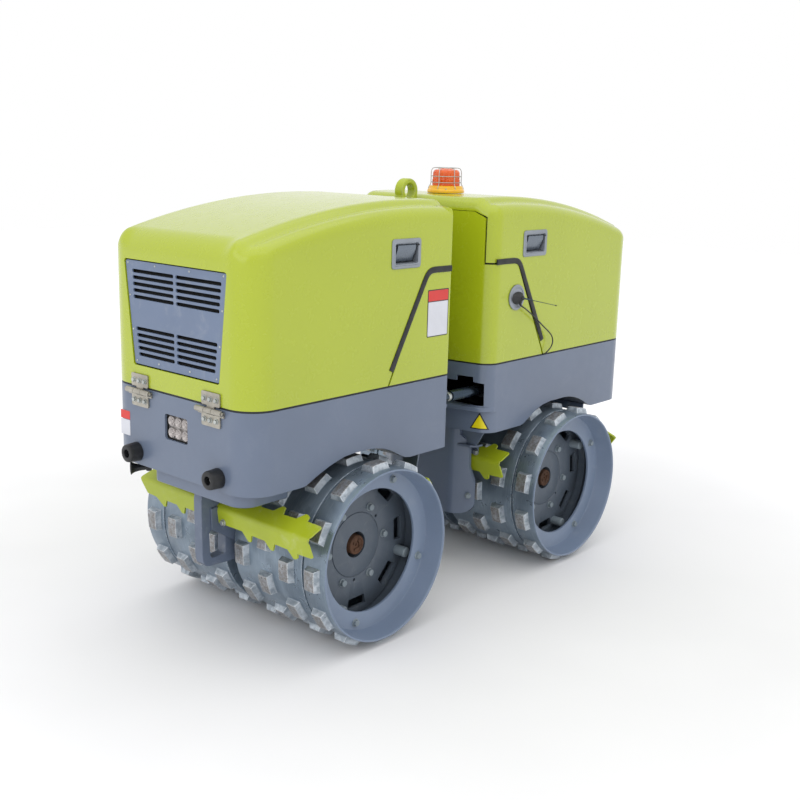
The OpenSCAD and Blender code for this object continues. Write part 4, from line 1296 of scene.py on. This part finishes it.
def drums():
    shell, pads, rim, dbolts = drum_parts()
    plate, hbolts, core, rust = hub_parts()
    for nm, cx in (("front", 517.0), ("rear", -517.0)):
        for sd, s in (("left", 1), ("right", -1)):
            body = f"{nm}_{sd}_drum"

            def turned(deg):
                c, q = cos(radians(deg)), sin(radians(deg))
                return lambda p: (p[0] * c - p[2] * q + cx, p[1] * s, p[0] * q + p[2] * c + AXZ)
            tr = turned(0 if nm == "front" else -49)
            MB().merge(shell, tr).obj(body + "_shell", 'P', body, ("drum",), angle=30, replaces=(body,))
            MB().merge(pads, turned(0 if nm == "front" else -45)).obj(body + "_pads", 'P', body, ("pad",), 1.1, 2, 28)
            MB().merge(rim, tr).obj(body + "_rim", 'P', body, ("rim", "hub"), angle=30)
            MB().merge(dbolts, tr).obj(body + "_bolts", 'P', body, ("bolt", "bolt"), angle=30)
            MB().merge(plate, tr).obj(f"{nm}_{sd}_hub_plate", 'P', body, ("hub",), angle=30, replaces=(f"{nm}_{sd}_hub",))
            MB().merge(hbolts, tr).merge(core, tr, 1).merge(rust, tr, 2).obj(
                f"{nm}_{sd}_hub_bolts", 'P', body, ("bolt", "hub", "rust"), angle=30)


drums()


# ------------------------------------------- carriers, brackets, scrapers
UP = radians(39)                # the upper leaf's slope


def leaf_cuts(kind, v, y_in):
    """Cut outlines (y, t) that leave the teeth and the shaped ends."""
    base, tip, far = 51, 72, 96
    if kind == 'V':
        teeth = [c for c in (v - 257, v - 158, v - 60) if c > y_in + 24]
        out = [[(v, -4), (v, 0), (v + 15, 47.5), (v + 14.4, 51), (v + 11, 53), (v - 46, 54), (v - 48, tip - 2), (v - 55, tip + 2),
                (v - 55, far), (v + 60, far), (v + 60, -4)],
               [(y_in - 20, base - 3), (teeth[0] - 27, base - 4), (teeth[0] - 6, tip), (teeth[0] - 6, far), (y_in - 20, far)]]
    else:
        teeth = [c for c in (v + 113, v + 208, v + 303) if c < -y_in - 20]
        out = [[(v - 60, -4), (v, -4), (v, 0), (v + 30, 46), (v + 75, 49), (teeth[0] - 6, tip), (teeth[0] - 6, far), (v - 60, far)],
               [(teeth[-1] + 16, base - 1), (-y_in + 30, base), (-y_in + 30, far), (teeth[-1] + 6, far), (teeth[-1] + 6, tip)]]
    for c, q in zip(teeth, teeth[1:]):
        out.append([(c + 15, base - 1), (q - 27, base), (q - 6, tip + 1), (q - 6, far), (c + 7, far), (c + 7, tip)])
    return out


def scraper(unit, xf, zf, kind, v, y_in, flip, mirror=False):
    """Toothed plate folded along the drum, with a soft fold."""
    dn = Vector((-0.139, -0.990))
    up = Vector((-cos(UP), sin(UP)))
    h = 3.0
    mid = [dn * 74, dn * 40]
    for k in range(9):
        t = k / 8
        mid.append(dn * 11 * (1 - t) ** 2 + up * 11 * t * t)
    mid += [up * 40, up * 74]
    a_, b_ = [], []
    for i, q in enumerate(mid):
        t = (mid[min(i + 1, len(mid) - 1)] - mid[max(i - 1, 0)]).normalized()
        n = Vector((-t.y, t.x))
        a_.append(q + n * h)
        b_.append(q - n * h)
    poly = [(q.x, q.y) for q in a_ + b_[::-1]]

    def T(x, y, z):
        x = xf + x
        return ((2 * 517 - x) if flip else x, -y if mirror else y, zf + z)
    lo, hi = (y_in, v + 15) if kind == 'V' else (v, -y_in)
    n = len(poly)
    b = MB()
    vs = [T(x, lo, z) for x, z in poly] + [T(x, hi, z) for x, z in poly]
    b.add(vs, [tuple(range(n)), tuple(range(2 * n - 1, n - 1, -1))] + [(i, i + n, (i + 1) % n + n, (i + 1) % n) for i in range(n)])
    ob = scratch(b, unit)
    ops = []
    for cut in leaf_cuts(kind, v, y_in):
        for d in (dn, up):
            nn = Vector((-d.y, d.x))
            c = MB()
            vs = []
            for o in (-14, 14):
                vs += [T(d.x * t + nn.x * o, y, d.y * t + nn.y * o) for y, t in cut]
            m = len(cut)
            c.add(vs, [tuple(range(m)), tuple(range(2 * m - 1, m - 1, -1))] + [(i, i + m, (i + 1) % m + m, (i + 1) % m) for i in range(m)])
            ops.append(('DIFFERENCE', scratch(c, unit)))
    boolean(ob, ops)
    return ob


def joined(obs):
    """One mesh of several scratch objects."""
    bm = bmesh.new()
    for o in obs:
        bm.from_mesh(o.data)
    me = bpy.data.meshes.new("joined")
    bm.to_mesh(me)
    bm.free()
    for o in obs:
        drop(o)
    return me


def carriers():
    for unit, nm, xe in (('F', "front", 908), ('R', "rear", 887)):
        # leg between the drums, up to the tub's floor, with a flange below it
        def top(x0, x1):
            fl = FLOOR[unit]

            def at(x):
                return next(za + (zb - za) * (x - xa) / (xb - xa) for (xa, za), (xb, zb) in zip(fl, fl[1:]) if xa <= x <= xb)
            return [(x1, at(x1) + 2)] + [(x, z + 2) for x, z in reversed(fl) if x0 < x < x1] + [(x0, at(x0) + 2)]
        corners = rounded([(427, 200, 60), (607, 200, 60), (607, 500, 0), (427, 500, 0)], 8)
        t = scratch(MB().prism(corners[:-2] + top(427, 607), 'y', -18, 18), unit)
        boolean(t, [('UNION', scratch(MB().prism([(457, 600), (577, 600)] + top(457, 577), 'y', -60, 60), unit))])
        assert len(t.data.polygons) > 20
        t.name = nm + "_drum_leg"
        dress(t, nm + "_frame", ("grey_worn",), 2.0, 2, 35, replaces=(nm + "_carrier",))
        b = MB()
        b.revolve([(0, -228), (40, -228), (40, -22), (58, -18), (58, 18), (40, 22), (40, 228), (0, 228)], (517, 0, AXZ), (0, 1, 0), 48, 0, closed=False)
        b.obj(nm + "_axle_stub", unit, nm + "_frame", ("cast",), angle=30)
        # tie-down bracket: arm, loop with window, upper plate
        loopo = rounded([(600, 262, 0), (700, 254, 30), (xe - 108, 254, 18), (xe - 8, 258, 26), (xe - 2, 300, 30), (xe, 470, 18), (xe - 6, 512, 0),
                         (xe - 158, 512, 0), (xe - 150, 400, 14), (xe - 128, 356, 20), (690, 352, 30), (600, 330, 0)], 6)
        t = scratch(MB().prism(loopo, 'y', -18, 18), unit)
        win = rounded([(xe - 90, 285, 8), (xe - 34, 281, 14), (xe - 30, 372, 10), (xe - 90, 366, 8)], 5)
        boolean(t, [('DIFFERENCE', scratch(MB().prism(win, 'y', -40, 40), unit))])
        t.name = nm + "_tie_down_bracket"
        dress(t, nm + "_frame", ("grey_worn",), 3.0, 3, 35)
        b = MB()
        b.prism(rounded([(xe - 148, 303, 4), (xe - 36, 374, 6), (xe - 34, 442, 6), (xe - 148, 442, 4)], 4), 'y', 18, 24)
        b.prism(rounded([(xe - 148, 303, 4), (xe - 36, 374, 6), (xe - 34, 442, 6), (xe - 148, 442, 4)], 4), 'y', -24, -18)
        b.obj(nm + "_bracket_cheeks", unit, nm + "_frame", ("grey_worn",), 1.5, 2, 35)
        if unit == 'F':
            plates = [scraper(unit, 850, 438, 'V', 416, 18, False), scraper(unit, 850, 449, 'A', -365, 18, False)]
        else:
            plates = [scraper(unit, 850, 423, 'V', 416, 18, False, True), scraper(unit, 850, 423, 'A', -391, 18, False, True)]
        put(nm + "_outer_scraper", joined(plates), nm + "_frame", ("lime_worn",), 0.9, 2, 35, replaces=(nm + "_scrapers",))
        plates = [scraper(unit, 850, 434, 'V', 312, 18, True), scraper(unit, 850, 434, 'A', -306, 18, True)]
        put(nm + "_inner_scraper", joined(plates), nm + "_frame", ("lime_worn",), 0.9, 2, 35)
        # wings bent forward along the bracket, bolts
        b = MB()
        for s in (1, -1):
            zf = 423 if unit == 'R' else 438 if s > 0 else 449
            b.prism([(840, zf + 4), (853, zf + 2), (858, zf - 4), (848, zf - 55), (843, zf - 61), (836, zf - 61), (828, zf - 34)], 'y', s * 18.2, s * 22, 0)
            b.hexhead((848.5, s * 48, zf - 40), (1, 0, 0), 8.5, 7, 1)
            b.hexhead((1034 - 848, s * 206, 452), (-1, 0, 0), 8.5, 7, 1)
        b.obj(nm + "_scraper_bolts", unit, nm + "_frame", ("lime_worn", "zinc"), 0.8, 2, 35)
    # front unit: hangers of the inner scrapers
    b = MB()
    for s in (1, -1):
        b.prism([(y * s, z) for y, z in rounded([(178, 470, 3), (236, 470, 3), (250, 556, 3), (170, 556, 3)], 3)], 'x', 172, 179)
        b.box((150, min(s * 170, s * 250), 551), (200, max(s * 170, s * 250), 558))
    b.obj("front_scraper_hanger", 'F', "front_frame", ("grey_worn",), 1.2, 2, 35)


carriers()


# ------------------------------------------------------- joint and guard
def joint():
    # bent guard plate of the rear unit
    prof = [(-120, 0), (-120, 128), (-120.8, 138), (-123.5, 147.5), (-128, 155), (-174, 219)]
    offs = [(-130, 0), (-130, 124), (-130.6, 133), (-132.6, 140.5), (-136, 147.5), (-182, 212.5)]
    full = [(x, -y) for x, y in prof[::-1]] + [(x, y) for x, y in prof[1:]] + \
           [(x, y) for x, y in offs[::-1]] + [(x, -y) for x, y in offs[1:]]
    t = scratch(MB().prism(full, 'z', 224, 558), 'P')
    c = MB()
    for s in (1, -1):
        out = [(300, 200), (174, 200), (174, 224)]
        arc = [(170 + 48 * sin(a), 272 - 48 * cos(a)) for a in [pi / 2 * k / 10 for k in range(11)]]
        out = [(300, 200), (168, 200), (168, 224)] + arc + [(218, 333)] + [(198, 400), (197, 486), (192, 500), (180, 508), (168, 520), (166, 560), (166, 600), (300, 600)]
        c.prism([(y * s, z) for y, z in out], 'x', -220, -100)
    boolean(t, [('DIFFERENCE', scratch(c, 'P'))])
    t.name = "joint_guard_plate"
    dress(t, "rear_frame", ("grey",), 1.6, 2, 35, replaces=("joint_guard",))
    b = MB()
    for s in (1, -1):
        b.prism(rounded([(-190, s * 152, 3), (-140, s * 152, 3), (-132, s * 166, 6), (-140, s * 212, 10), (-158, s * 234, 12), (-190, s * 234, 3)], 4), 'z', 480, 488)
        b.prism([(y * s, z) for y, z in [(150, 488), (206, 488), (233, 489), (246, 512), (262, 541), (266, 560), (150, 560)]], 'x', -160, -152)
        b.prism([(y * s, z) for y, z in rounded([(150, 430, 4), (212, 430, 4), (212, 482, 4), (150, 482, 4)], 3)], 'x', -196, -190)
    b.obj("joint_guard_gussets", 'P', "rear_frame", ("grey_worn",), 1.4, 2, 35)
    b = MB()
    for s in (1, -1):
        b.hexhead((-157, s * 201, 294), (0.80, s * 0.60, 0), 9, 8, 0)
    b.obj("joint_guard_bolts", 'P', "rear_frame", ("bolt",), 0.5, 2, 35)
    # soft lip under the cylinder opening, running out on the side walls
    def ring(d):
        pts = ring_pts('R', d, 4, 40, 4, 14)
        pts = pts[4 + 4 + 40 + 4 + 4:] + pts[:1]
        return [(warp_x('R', x, y), y) for x, y, _ in pts]
    o6, o0, inn = ring(-7.0), ring(-0.2), ring(5.0)
    out = []
    for (xa, ya), (xb, yb) in zip(o6, o0):
        t = sstep(306, 324, abs(yb))
        out.append((lerp(xa, xb, t), lerp(ya, yb, t)))
    poly = out + inn[::-1]
    MB().prism(poly, 'z', 634, 651).obj("rear_sill_lip", 'R', "rear_frame", ("grey",), 6.0, 4, 50)
    # fork, pin and caps
    b = MB()
    for z in (568, 712):
        out = [(-52, -62), (-30, -60)] + [(48 * cos(a), 48 * sin(a)) for a in [-pi / 2 + pi * k / 24 for k in range(25)]] + [(-30, 60), (-52, 62)]
        b.prism(out, 'z', z, z + 30)
        b.revolve([(25, 0), (36, 0), (36, 3.5), (34, 5), (25, 5)], (0, 0, z + 29), (0, 0, 1), 48)
    b.obj("joint_fork_plates", 'P', "rear_frame", ("grey_worn",), 2.2, 2, 40, replaces=("joint_fork",))
    b = MB()
    b.revolve([(0, 560), (22, 560), (24, 562), (24, 739), (22, 741), (0, 741)], (0, 0, 0), (0, 0, 1), 48, 0, closed=False)
    for k in range(4):
        a = radians(45 + 90 * k)
        b.hexhead((14 * cos(a), 14 * sin(a), 560.5), (0, 0, -1), 4.5, 4, 0, washer=False)
    b.obj("joint_pin", 'P', "rear_frame", ("zinc",), angle=30)
    # knuckle
    t = scratch(MB().revolve([(0, 603), (42.5, 603), (44, 604.5), (44, 705.5), (42.5, 707), (0, 707)], (0, 0, 0), (0, 0, 1), 64, 0, closed=False), 'P')
    k2 = MB()
    k2.revolve([(0, 20), (44, 20), (47, 32), (49, 40), (50, 60), (50, 94), (48, 96), (38, 97), (37.9, 200), (0, 200)], (0, 0, 655), (1, 0, 0), 64, 0, closed=False)
    boolean(t, [('UNION', scratch(k2, 'P')),
                ('DIFFERENCE', scratch(MB().cyl((0, 0, 590), (0, 0, 1), 24.1, 130, 64), 'P'))])
    t.name = "joint_knuckle_casting"
    dress(t, "joint_knuckle", ("cast",), 1.4, 2, 38, replaces=("joint_knuckle",))
    b = MB()
    for z in (674, 718):
        b.prism(rounded([(60, 20, 0), (90, 20, 0), (114, 190, 20), (114, 281, 23.9), (66, 281, 23.9), (66, 190, 20)], 8), 'z', z, z + 12)
    b.prism([(60, 18), (88, 18), (88, 56), (60, 56)], 'z', 635, 730)
    b.revolve([(0, -16), (16, -16), (16, -1), (11.5, -1), (11.5, 57), (16, 57), (16, 64), (14.5, 66), (0, 66)], (90, 255, 673), (0, 0, 1), 32, 1, closed=False)
    b.obj("knuckle_arm", 'P', "joint_knuckle", ("grey_worn", "zinc"), 1.6, 2, 38)
    # housing on the front unit
    b = MB()
    b.revolve([(38.1, 110), (62, 110), (64, 112), (64, 145.6), (82, 146), (84, 148), (84, 158), (82, 160), (66, 160.5), (64, 228), (62, 230), (38.1, 230)],
              (0, 0, 655), (1, 0, 0), 64, 0)
    for k in range(8):
        a = radians(22.5 + 45 * k)
        b.hexhead((146.3, 74 * cos(a), 655 + 74 * sin(a)), (-1, 0, 0), 6.2, 5, 1)
    b.obj("joint_housing_flange", 'P', "front_frame", ("grey_worn", "zinc"), 1.2, 2, 38, replaces=("joint_housing",))


joint()


def steering():
    b = MB()
    c = (-430, 255, 702)
    b.revolve([(18.9, 298), (28, 298), (29.4, 296.5), (29.4, 278), (30, 276.5), (30, 274), (27.6, 272), (27.6, 34), (30, 31), (30, 22), (28, 19), (18.9, 19)],
              c, (1, 0, 0), 48, 0)
    b.revolve([(12.1, -20), (24.5, -20), (26, -18.5), (26, 18.5), (24.5, 20), (12.1, 20)], c, (0, 0, 1), 48, 0)
    b.box((-412, 244, 690), (-398, 266, 714))
    # ports
    for dx in (52, 246):
        b.revolve([(0, 0), (9, 0), (9, 12), (0, 12)], (c[0] + dx, 255, 727), (0, 0, 1), 24, 0, closed=False)
        b.hexhead((c[0] + dx, 255, 738), (0, 0, 1), 10, 9, 1, washer=False)
    b.obj("steering_cylinder_barrel", 'P', "steering_barrel", ("plastic", "zinc"), 0.8, 2, 38, replaces=("steering_barrel",))
    b = MB()
    b.revolve([(0, -357), (17.5, -357), (18.5, -356), (18.5, -56), (17.5, -54), (13, -52), (13, -12), (0, -12)], (90, 255, 702), (1, 0, 0), 48, 0, closed=False)
    b.revolve([(11.8, -11), (19.5, -11), (21, -9.5), (21, 9.5), (19.5, 11), (11.8, 11)], (90, 255, 702), (0, 0, 1), 40, 1)
    b.revolve([(12.8, 0), (15, 0), (15.4, 1.5), (15.4, 10), (14, 12), (12.8, 12)], (42, 255, 702), (1, 0, 0), 32, 1)
    b.obj("steering_cylinder_rod", 'P', "steering_rod", ("chrome", "zinc"), angle=30, replaces=("steering_rod",))


steering()


def eye_and_beacon():
    b = MB()
    n = 48
    body = [(-2 + 42 * cos(a), 1372 + 42 * sin(a)) for a in [-0.35 + (pi + 0.7) * k / n for k in range(n + 1)]]
    body = body + [(-42, 1330), (-36, 1000), (-33, 742), (38, 742), (38, 1000), (40, 1330)]
    t = scratch(MB().prism(body, 'y', -18, 18), 'P')
    boolean(t, [('DIFFERENCE', scratch(MB().cyl((-2, -40, 1372), (0, 1, 0), 24, 80, 64), 'P'))])
    t.name = "lifting_eye_plate"
    dress(t, "rear_frame", ("lime_eye",), 6.0, 5, 40, replaces=("lifting_eye",))
    # beacon base
    b = MB()
    X, Y = -215, 0
    b.revolve([(0, 1363.5), (65.2, 1363.5), (66, 1368), (65.6, 1372), (63.5, 1375.5), (61.0, 1377), (60.2, 1383), (59, 1386), (56, 1387.8), (0, 1387.8)],
              (X, Y, 0), (0, 0, 1), 72, 0, closed=False)
    for k in range(3):
        a = radians(40 + 120 * k)
        b.hexhead((X + 61.5 * cos(a), Y + 61.5 * sin(a), 1376), (0, 0, 1), 3.4, 2.6, 1, washer=False)
    b.obj("beacon_foot", 'P', "rear_hood", ("base_y", "zinc"), angle=30, replaces=("beacon_base",))
    # lens with upright ribs, two steps and a flat cap
    rings = []
    N = 144
    prof = [(48.4, 1388), (48.8, 1391), (47.8, 1392.5), (47.4, 1404), (47.8, 1405.5), (47.8, 1407.5), (46.6, 1409), (46.0, 1430), (46.2, 1432), (45, 1437),
            (42, 1441.5), (35.5, 1443.6), (24, 1444.6), (23, 1446.4), (10, 1446.8)]
    for r, z in prof:
        rib = 0.9 if 1392 < z < 1433 else 0.0
        rings.append([(X + (r + (rib if (i // 3) % 2 else -rib)) * cos(2 * pi * i / N), Y + (r + (rib if (i // 3) % 2 else -rib)) * sin(2 * pi * i / N), z)
                      for i in range(N)])
    b = MB()
    b.loft(rings, 0)
    b.obj("beacon_dome", 'P', "rear_hood", ("lens",), angle=26, replaces=("beacon_lens",))
    # reflector and lamp seen through the lens
    b = MB()
    b.revolve([(0, 1389), (30, 1389), (30, 1394), (12, 1397), (12, 1424), (8, 1430), (0, 1431)], (X, Y, 0), (0, 0, 1), 32, 0, closed=False)
    b.obj("beacon_lamp", 'P', "rear_hood", ("zinc",), angle=30)
    # wire guard
    b = MB()
    for k in range(6):
        a = radians(12 + 60 * k)
        ca, sa = cos(a), sin(a)
        pts = []
        for rr, z in ((61.8, 1376), (61.5, 1380), (57.5, 1388), (54.2, 1394), (53.6, 1410), (53.6, 1432), (52.2, 1440), (49, 1446), (44, 1448.6), (39, 1449.2)):
            pts.append((X + rr * ca, Y + rr * sa, z))
        b.tube(smooth_path(pts, 3), 1.35, 8)
    for z, rr in ((1399, 54.4), (1420, 54.4)):
        b.tube([(X + rr * cos(t), Y + rr * sin(t), z) for t in [2 * pi * k / 64 for k in range(64)]], 1.35, 8, closed=True)
    b.tube([(X + 39 * cos(t), Y + 39 * sin(t), 1449.3) for t in [2 * pi * k / 56 for k in range(56)]], 1.35, 8, closed=True)
    b.obj("beacon_wire_guard", 'P', "rear_hood", ("zinc",), angle=50)


eye_and_beacon()


# ------------------------------------------------ labels, horn, interior
def labels():
    def plate(b, unit, s, x0, x1, z0, z1, y, t, m, r=3):
        b.prism(rounded([(x0, z0, r), (x1, z0, r), (x1, z1, r), (x0, z1, r)], 3), 'y', s * y, s * (y + t), m)
    for unit, nm, x0, x1 in (('F', "front", 151, 253), ('R', "rear", 70, 150)):
        if unit == 'R':
            continue
        b = MB()
        for s in (1, -1):
            plate(b, unit, s, x0, x1, 935, 1085, 325.6, 0.9, 2, 4)
            plate(b, unit, s, x0 + 3, x1 - 3, 938, 1046, 326.2, 0.6, 0, 2)
            plate(b, unit, s, x0 + 3, x1 - 3, 1049, 1082, 326.2, 0.6, 1, 2)
        b.obj("front_blank_labels", unit, "front_frame", ("label_w", "label_r", "label_k"), angle=30)
    # blank sticker at the front tub's far side of the end face
    b = MB()
    for (y0, y1, z0, z1, m) in ((-272, -226, 690, 716, 1), (-272, -226, 640, 688, 0)):
        b.prism(rounded([(y0, z0, 2), (y1, z0, 2), (y1, z1, 2), (y0, z1, 2)], 3), 'x', 980.9, 981.7, m)
    b.obj("front_blank_sticker", 'F', "front_frame", ("label_w", "label_r"), angle=30)
    # blank warning triangle bent round the set-back wall's corner
    ys = [240 + 1.0 * k for k in range(87)]
    arc = [0.0]
    for y0, y1 in zip(ys, ys[1:]):
        arc.append(arc[-1] + hypot(y1 - y0, wall_x(y1) - wall_x(y0)))

    def at(q):
        q = max(0.0, min(arc[-1], q))
        for k in range(len(arc) - 1):
            if q <= arc[k + 1]:
                return lerp(ys[k], ys[k + 1], (q - arc[k]) / (arc[k + 1] - arc[k]))
        return ys[-1]
    for s in (1, -1):
        b = MB()
        zb, zt, hw, mid = SIGN
        zc = zb + (zt - zb) / 3
        for k, (a, off) in enumerate(((1.0, 0.5), (0.80, 1.0))):
            rows, cols = 10, 10
            front, back = [], []
            for i in range(rows + 1):
                z = lerp(zb, zt, i / rows)
                w = hw * (1 - i / rows) + 1.5
                for j in range(cols + 1):
                    y = at(mid + lerp(-w, w, j / cols) * a)
                    front.append((wall_x(y) - off, s * y, zc + (z - zc) * a))
                    back.append((wall_x(y) + 0.6, s * y, zc + (z - zc) * a))
            n = len(front)
            fs = []
            for i in range(rows):
                for j in range(cols):
                    q = i * (cols + 1) + j
                    f = (q, q + 1, q + cols + 2, q + cols + 1)
                    fs += [f, tuple(n + t for t in f[::-1])]
            rim = [j for j in range(cols + 1)] + [i * (cols + 1) + cols for i in range(1, rows + 1)] + \
                  [rows * (cols + 1) + j for j in range(cols - 1, -1, -1)] + [i * (cols + 1) for i in range(rows - 1, 0, -1)]
            fs += [(rim[q], rim[(q + 1) % len(rim)], n + rim[(q + 1) % len(rim)], n + rim[q]) for q in range(len(rim))]
            b.add(front + back, fs, k)
        b.obj(f"rear_blank_sign_{'left' if s > 0 else 'right'}", 'R', "rear_frame", ("label_k", "sign"), angle=40)


SIGN = (570, 628, 34, 50)      # base, apex, half width, arc length from y = 240 to the middle
labels()


def horn():
    b = MB()
    # trumpet turned outward, with its sound head and bracket
    d = Vector((cos(radians(30)), -sin(radians(30)), 0))
    c = Vector((917, -228, 528))
    b.revolve([(6, 2), (9, 2), (9.2, 10), (10, 22), (11.4, 32), (14, 42), (18, 49.5), (21, 53), (21.6, 54.4), (20.6, 55), (18.2, 52.5),
               (14.6, 46), (10.8, 38), (8.4, 28), (7, 16)], c, d, 56, 0)
    b.revolve([(0, -9), (11, -9), (13, -7), (13.4, 0), (13.4, 5), (12, 7), (9.5, 8), (0, 8)], c, d, 48, 0, closed=False)
    b.revolve([(13.2, -2), (14.2, -1.6), (14.2, 1.6), (13.2, 2)], c, d, 48, 0)
    # bent strap up to the floor and its bolt
    b.prism([(908, 536), (926, 536), (926, 539), (911, 539), (911, 555), (930, 555), (930, 558), (908, 558)], 'y', -236, -220, 1)
    b.hexhead((920, -228, 555), (0, 0, -1), 5, 4, 1)
    b.obj("horn_trumpet", 'P', "front_frame", ("plastic", "zinc"), 0.5, 2, 34, replaces=("horn",))


horn()


def engine():
    b = MB()
    # crankcase, head, covers, pulleys, canisters, tank
    b.prism(rounded([(400, 652, 20), (700, 652, 20), (700, 850, 14), (400, 850, 14)], 5), 'y', -120, 130, 0)
    b.prism(rounded([(425, 850, 8), (675, 850, 8), (675, 935, 10), (425, 935, 10)], 4), 'y', -85, 75, 1)
    b.prism(rounded([(440, 935, 6), (660, 935, 6), (652, 985, 22), (448, 985, 22)], 5), 'y', -70, 60, 0)
    for k in range(9):
        x = 432 + k * 28
        b.prism([(x, 860), (x + 10, 860), (x + 10, 930), (x, 930)], 'y', 70, 92, 1)
    b.cyl((560, -110, 1050), (0, 1, 0), 66, 220, 48, 0, 8)
    b.cyl((560, 108, 1050), (0, 1, 0), 44, 22, 48, 1, 5)
    b.cyl((470, -190, 880), (0, 1, 0), 46, 70, 48, 1, 4)
    b.cyl((640, 120, 760), (0, 1, 0), 60, 22, 48, 1, 3)
    b.cyl((500, 120, 820), (0, 1, 0), 34, 20, 40, 1, 3)
    b.cyl((700, -150, 700), (0, 0, 1), 38, 120, 40, 0, 6)
    b.prism(rounded([(715, 668, 16), (757, 668, 16), (757, 1080, 16), (715, 1080, 16)], 5), 'y', -190, 190, 1)
    for k in range(18):
        y = -180 + k * 20
        b.prism([(757, 690), (759.5, 690), (759.5, 1060), (757, 1060)], 'y', y, y + 12, 0)
    b.prism(rounded([(334, 700, 24), (392, 700, 24), (392, 900, 24), (334, 900, 24)], 6), 'y', -190, 120, 2)
    b.obj("engine_set", 'F', "front_frame", ("engine", "alu", "plastic"), 3.0, 2, 35, replaces=("engine_block",))
    h = MB()
    h.tube(smooth_path([(700, -150, 822), (700, -150, 880), (670, -150, 950), (610, -140, 1010), (560, -112, 1050)], 5), 18, 16, 0)
    h.tube(smooth_path([(716, 120, 1030), (690, 130, 1040), (660, 120, 1010), (650, 90, 960), (650, 60, 920)], 5), 15, 16, 0)
    h.tube(smooth_path([(716, -40, 700), (700, -60, 690), (690, -120, 690), (700, -150, 705)], 5), 13, 14, 0)
    belt = []
    for t in range(60):
        a = 2 * pi * t / 60
        belt.append((lerp(500, 640, (cos(a) + 1) / 2) + 46 * cos(a) * 1.0, 131, lerp(820, 760, (cos(a) + 1) / 2) + 52 * sin(a)))
    h.tube(belt, 5.5, 8, 0, closed=True)
    h.obj("engine_hoses", 'F', "front_frame", ("rubber",), angle=40)
    b = MB()
    # hydraulic set: tank, pump, valve block, battery
    b.prism(rounded([(-696, 650, 26), (-520, 650, 26), (-520, 1020, 26), (-696, 1020, 26)], 6), 'y', -210, 20, 2)
    b.cyl((-608, -95, 1020), (0, 0, 1), 34, 20, 40, 2, 5)
    b.prism(rounded([(-690, 650, 10), (-540, 650, 10), (-540, 820, 10), (-690, 820, 10)], 4), 'y', 34, 126, 0)
    for k in range(5):
        b.cyl((-670 + k * 27, 80, 820), (0, 0, 1), 8, 14, 24, 1, 2)
    b.prism(rounded([(-500, 660, 8), (-390, 660, 8), (-390, 800, 8), (-500, 800, 8)], 4), 'y', -180, -60, 1)
    for k in range(4):
        b.cyl((-480 + k * 26, -120, 800), (0, 0, 1), 13, 70, 32, 0, 3)
        b.hexhead((-480 + k * 26, -120, 870), (0, 0, 1), 9, 7, 1)
    b.cyl((-505, 10, 730), (1, 0, 0), 48, 120, 48, 1, 6)
    b.cyl((-385, 10, 730), (1, 0, 0), 30, 14, 40, 0, 3)
    b.obj("hydraulic_set", 'P', "rear_frame", ("engine", "alu", "grey"), 3.0, 2, 35, replaces=("hydraulic_block",))
    h = MB()
    for k in range(4):
        x = -480 + k * 26
        h.tube(smooth_path([(x, -60, 700 + k * 20), (x + 10, -20, 690 + k * 20), (x + 20, 10, 720 + k * 16), (x - 20 + 8 * k, 40, 780)], 5), 8.5, 12, 0)
    h.tube(smooth_path([(-540, 10, 700), (-520, 10, 700), (-505, 10, 715)], 4), 14, 14, 0)
    h.obj("hydraulic_hoses", 'P', "rear_frame", ("rubber",), angle=40)


engine()

# ------------------------------------------------------- floor and lights
def stage():
    me = bpy.data.meshes.new("floor")
    n = 24
    vs = [(lerp(-14, 14, i / n), lerp(-14, 14, j / n), -0.0006) for i in range(n + 1) for j in range(n + 1)]
    fs = [(i * (n + 1) + j, (i + 1) * (n + 1) + j, (i + 1) * (n + 1) + j + 1, i * (n + 1) + j + 1) for i in range(n) for j in range(n)]
    me.from_pydata(vs, [], fs)
    ob = bpy.data.objects.new("floor", me)
    C.scene.collection.objects.link(ob)
    m = Mat("floor_pale")
    m.color(m.mix(m.ramp(m.noise(0.8, 3, 0.5), 0.3, 0.7), (0.86, 0.86, 0.87), (0.90, 0.90, 0.91)))
    m.rough(m.noise(3, 3, 0.5), 0.75, 0.85)
    # painted light: emission rising with distance from the centre, none within 1.3 m and full at 3.4 m, so the far
    # floor glows into the white backdrop and the floor round the machine is left darker
    tc = m.node("ShaderNodeTexCoord")
    ln = m.node("ShaderNodeVectorMath", operation='LENGTH')
    link(m.nt, tc.outputs["Object"], ln.inputs[0])
    link(m.nt, m.ramp(ln.outputs["Value"], 1.3, 3.4, 0.0, 0.24), m.b.inputs["Emission Strength"])
    m.set(Emission_Color=(1, 1, 1, 1), Specular_IOR_Level=0.2)
    me.materials.append(m.m)


stage()


def area(name, loc, target, size, power, color=(1, 1, 1)):
    l = bpy.data.lights.new(name, 'AREA')
    l.shape = 'RECTANGLE'
    l.size, l.size_y = size
    l.energy = power
    l.color = color
    ob = bpy.data.objects.new(name, l)
    ob.location = loc
    d = Vector(target) - Vector(loc)
    ob.rotation_euler = d.to_track_quat('-Z', 'Y').to_euler()
    C.scene.collection.objects.link(ob)


w = bpy.data.worlds.new("studio")
w.use_nodes = True
bg = w.node_tree.nodes["Background"]
bg.inputs["Color"].default_value = (1.0, 1.0, 1.0, 1)
bg.inputs["Strength"].default_value = 1.0
C.scene.world = w
area("top", (0.6, 0.6, 4.2), (0, 0, 0.9), (4.5, 4.5), 36)
area("key", (3.6, 0.4, 2.2), (0.2, 0, 0.7), (2.2, 2.2), 14)
area("side", (1.4, 4.2, 2.4), (0.4, 0, 0.7), (3.2, 2.2), 3)
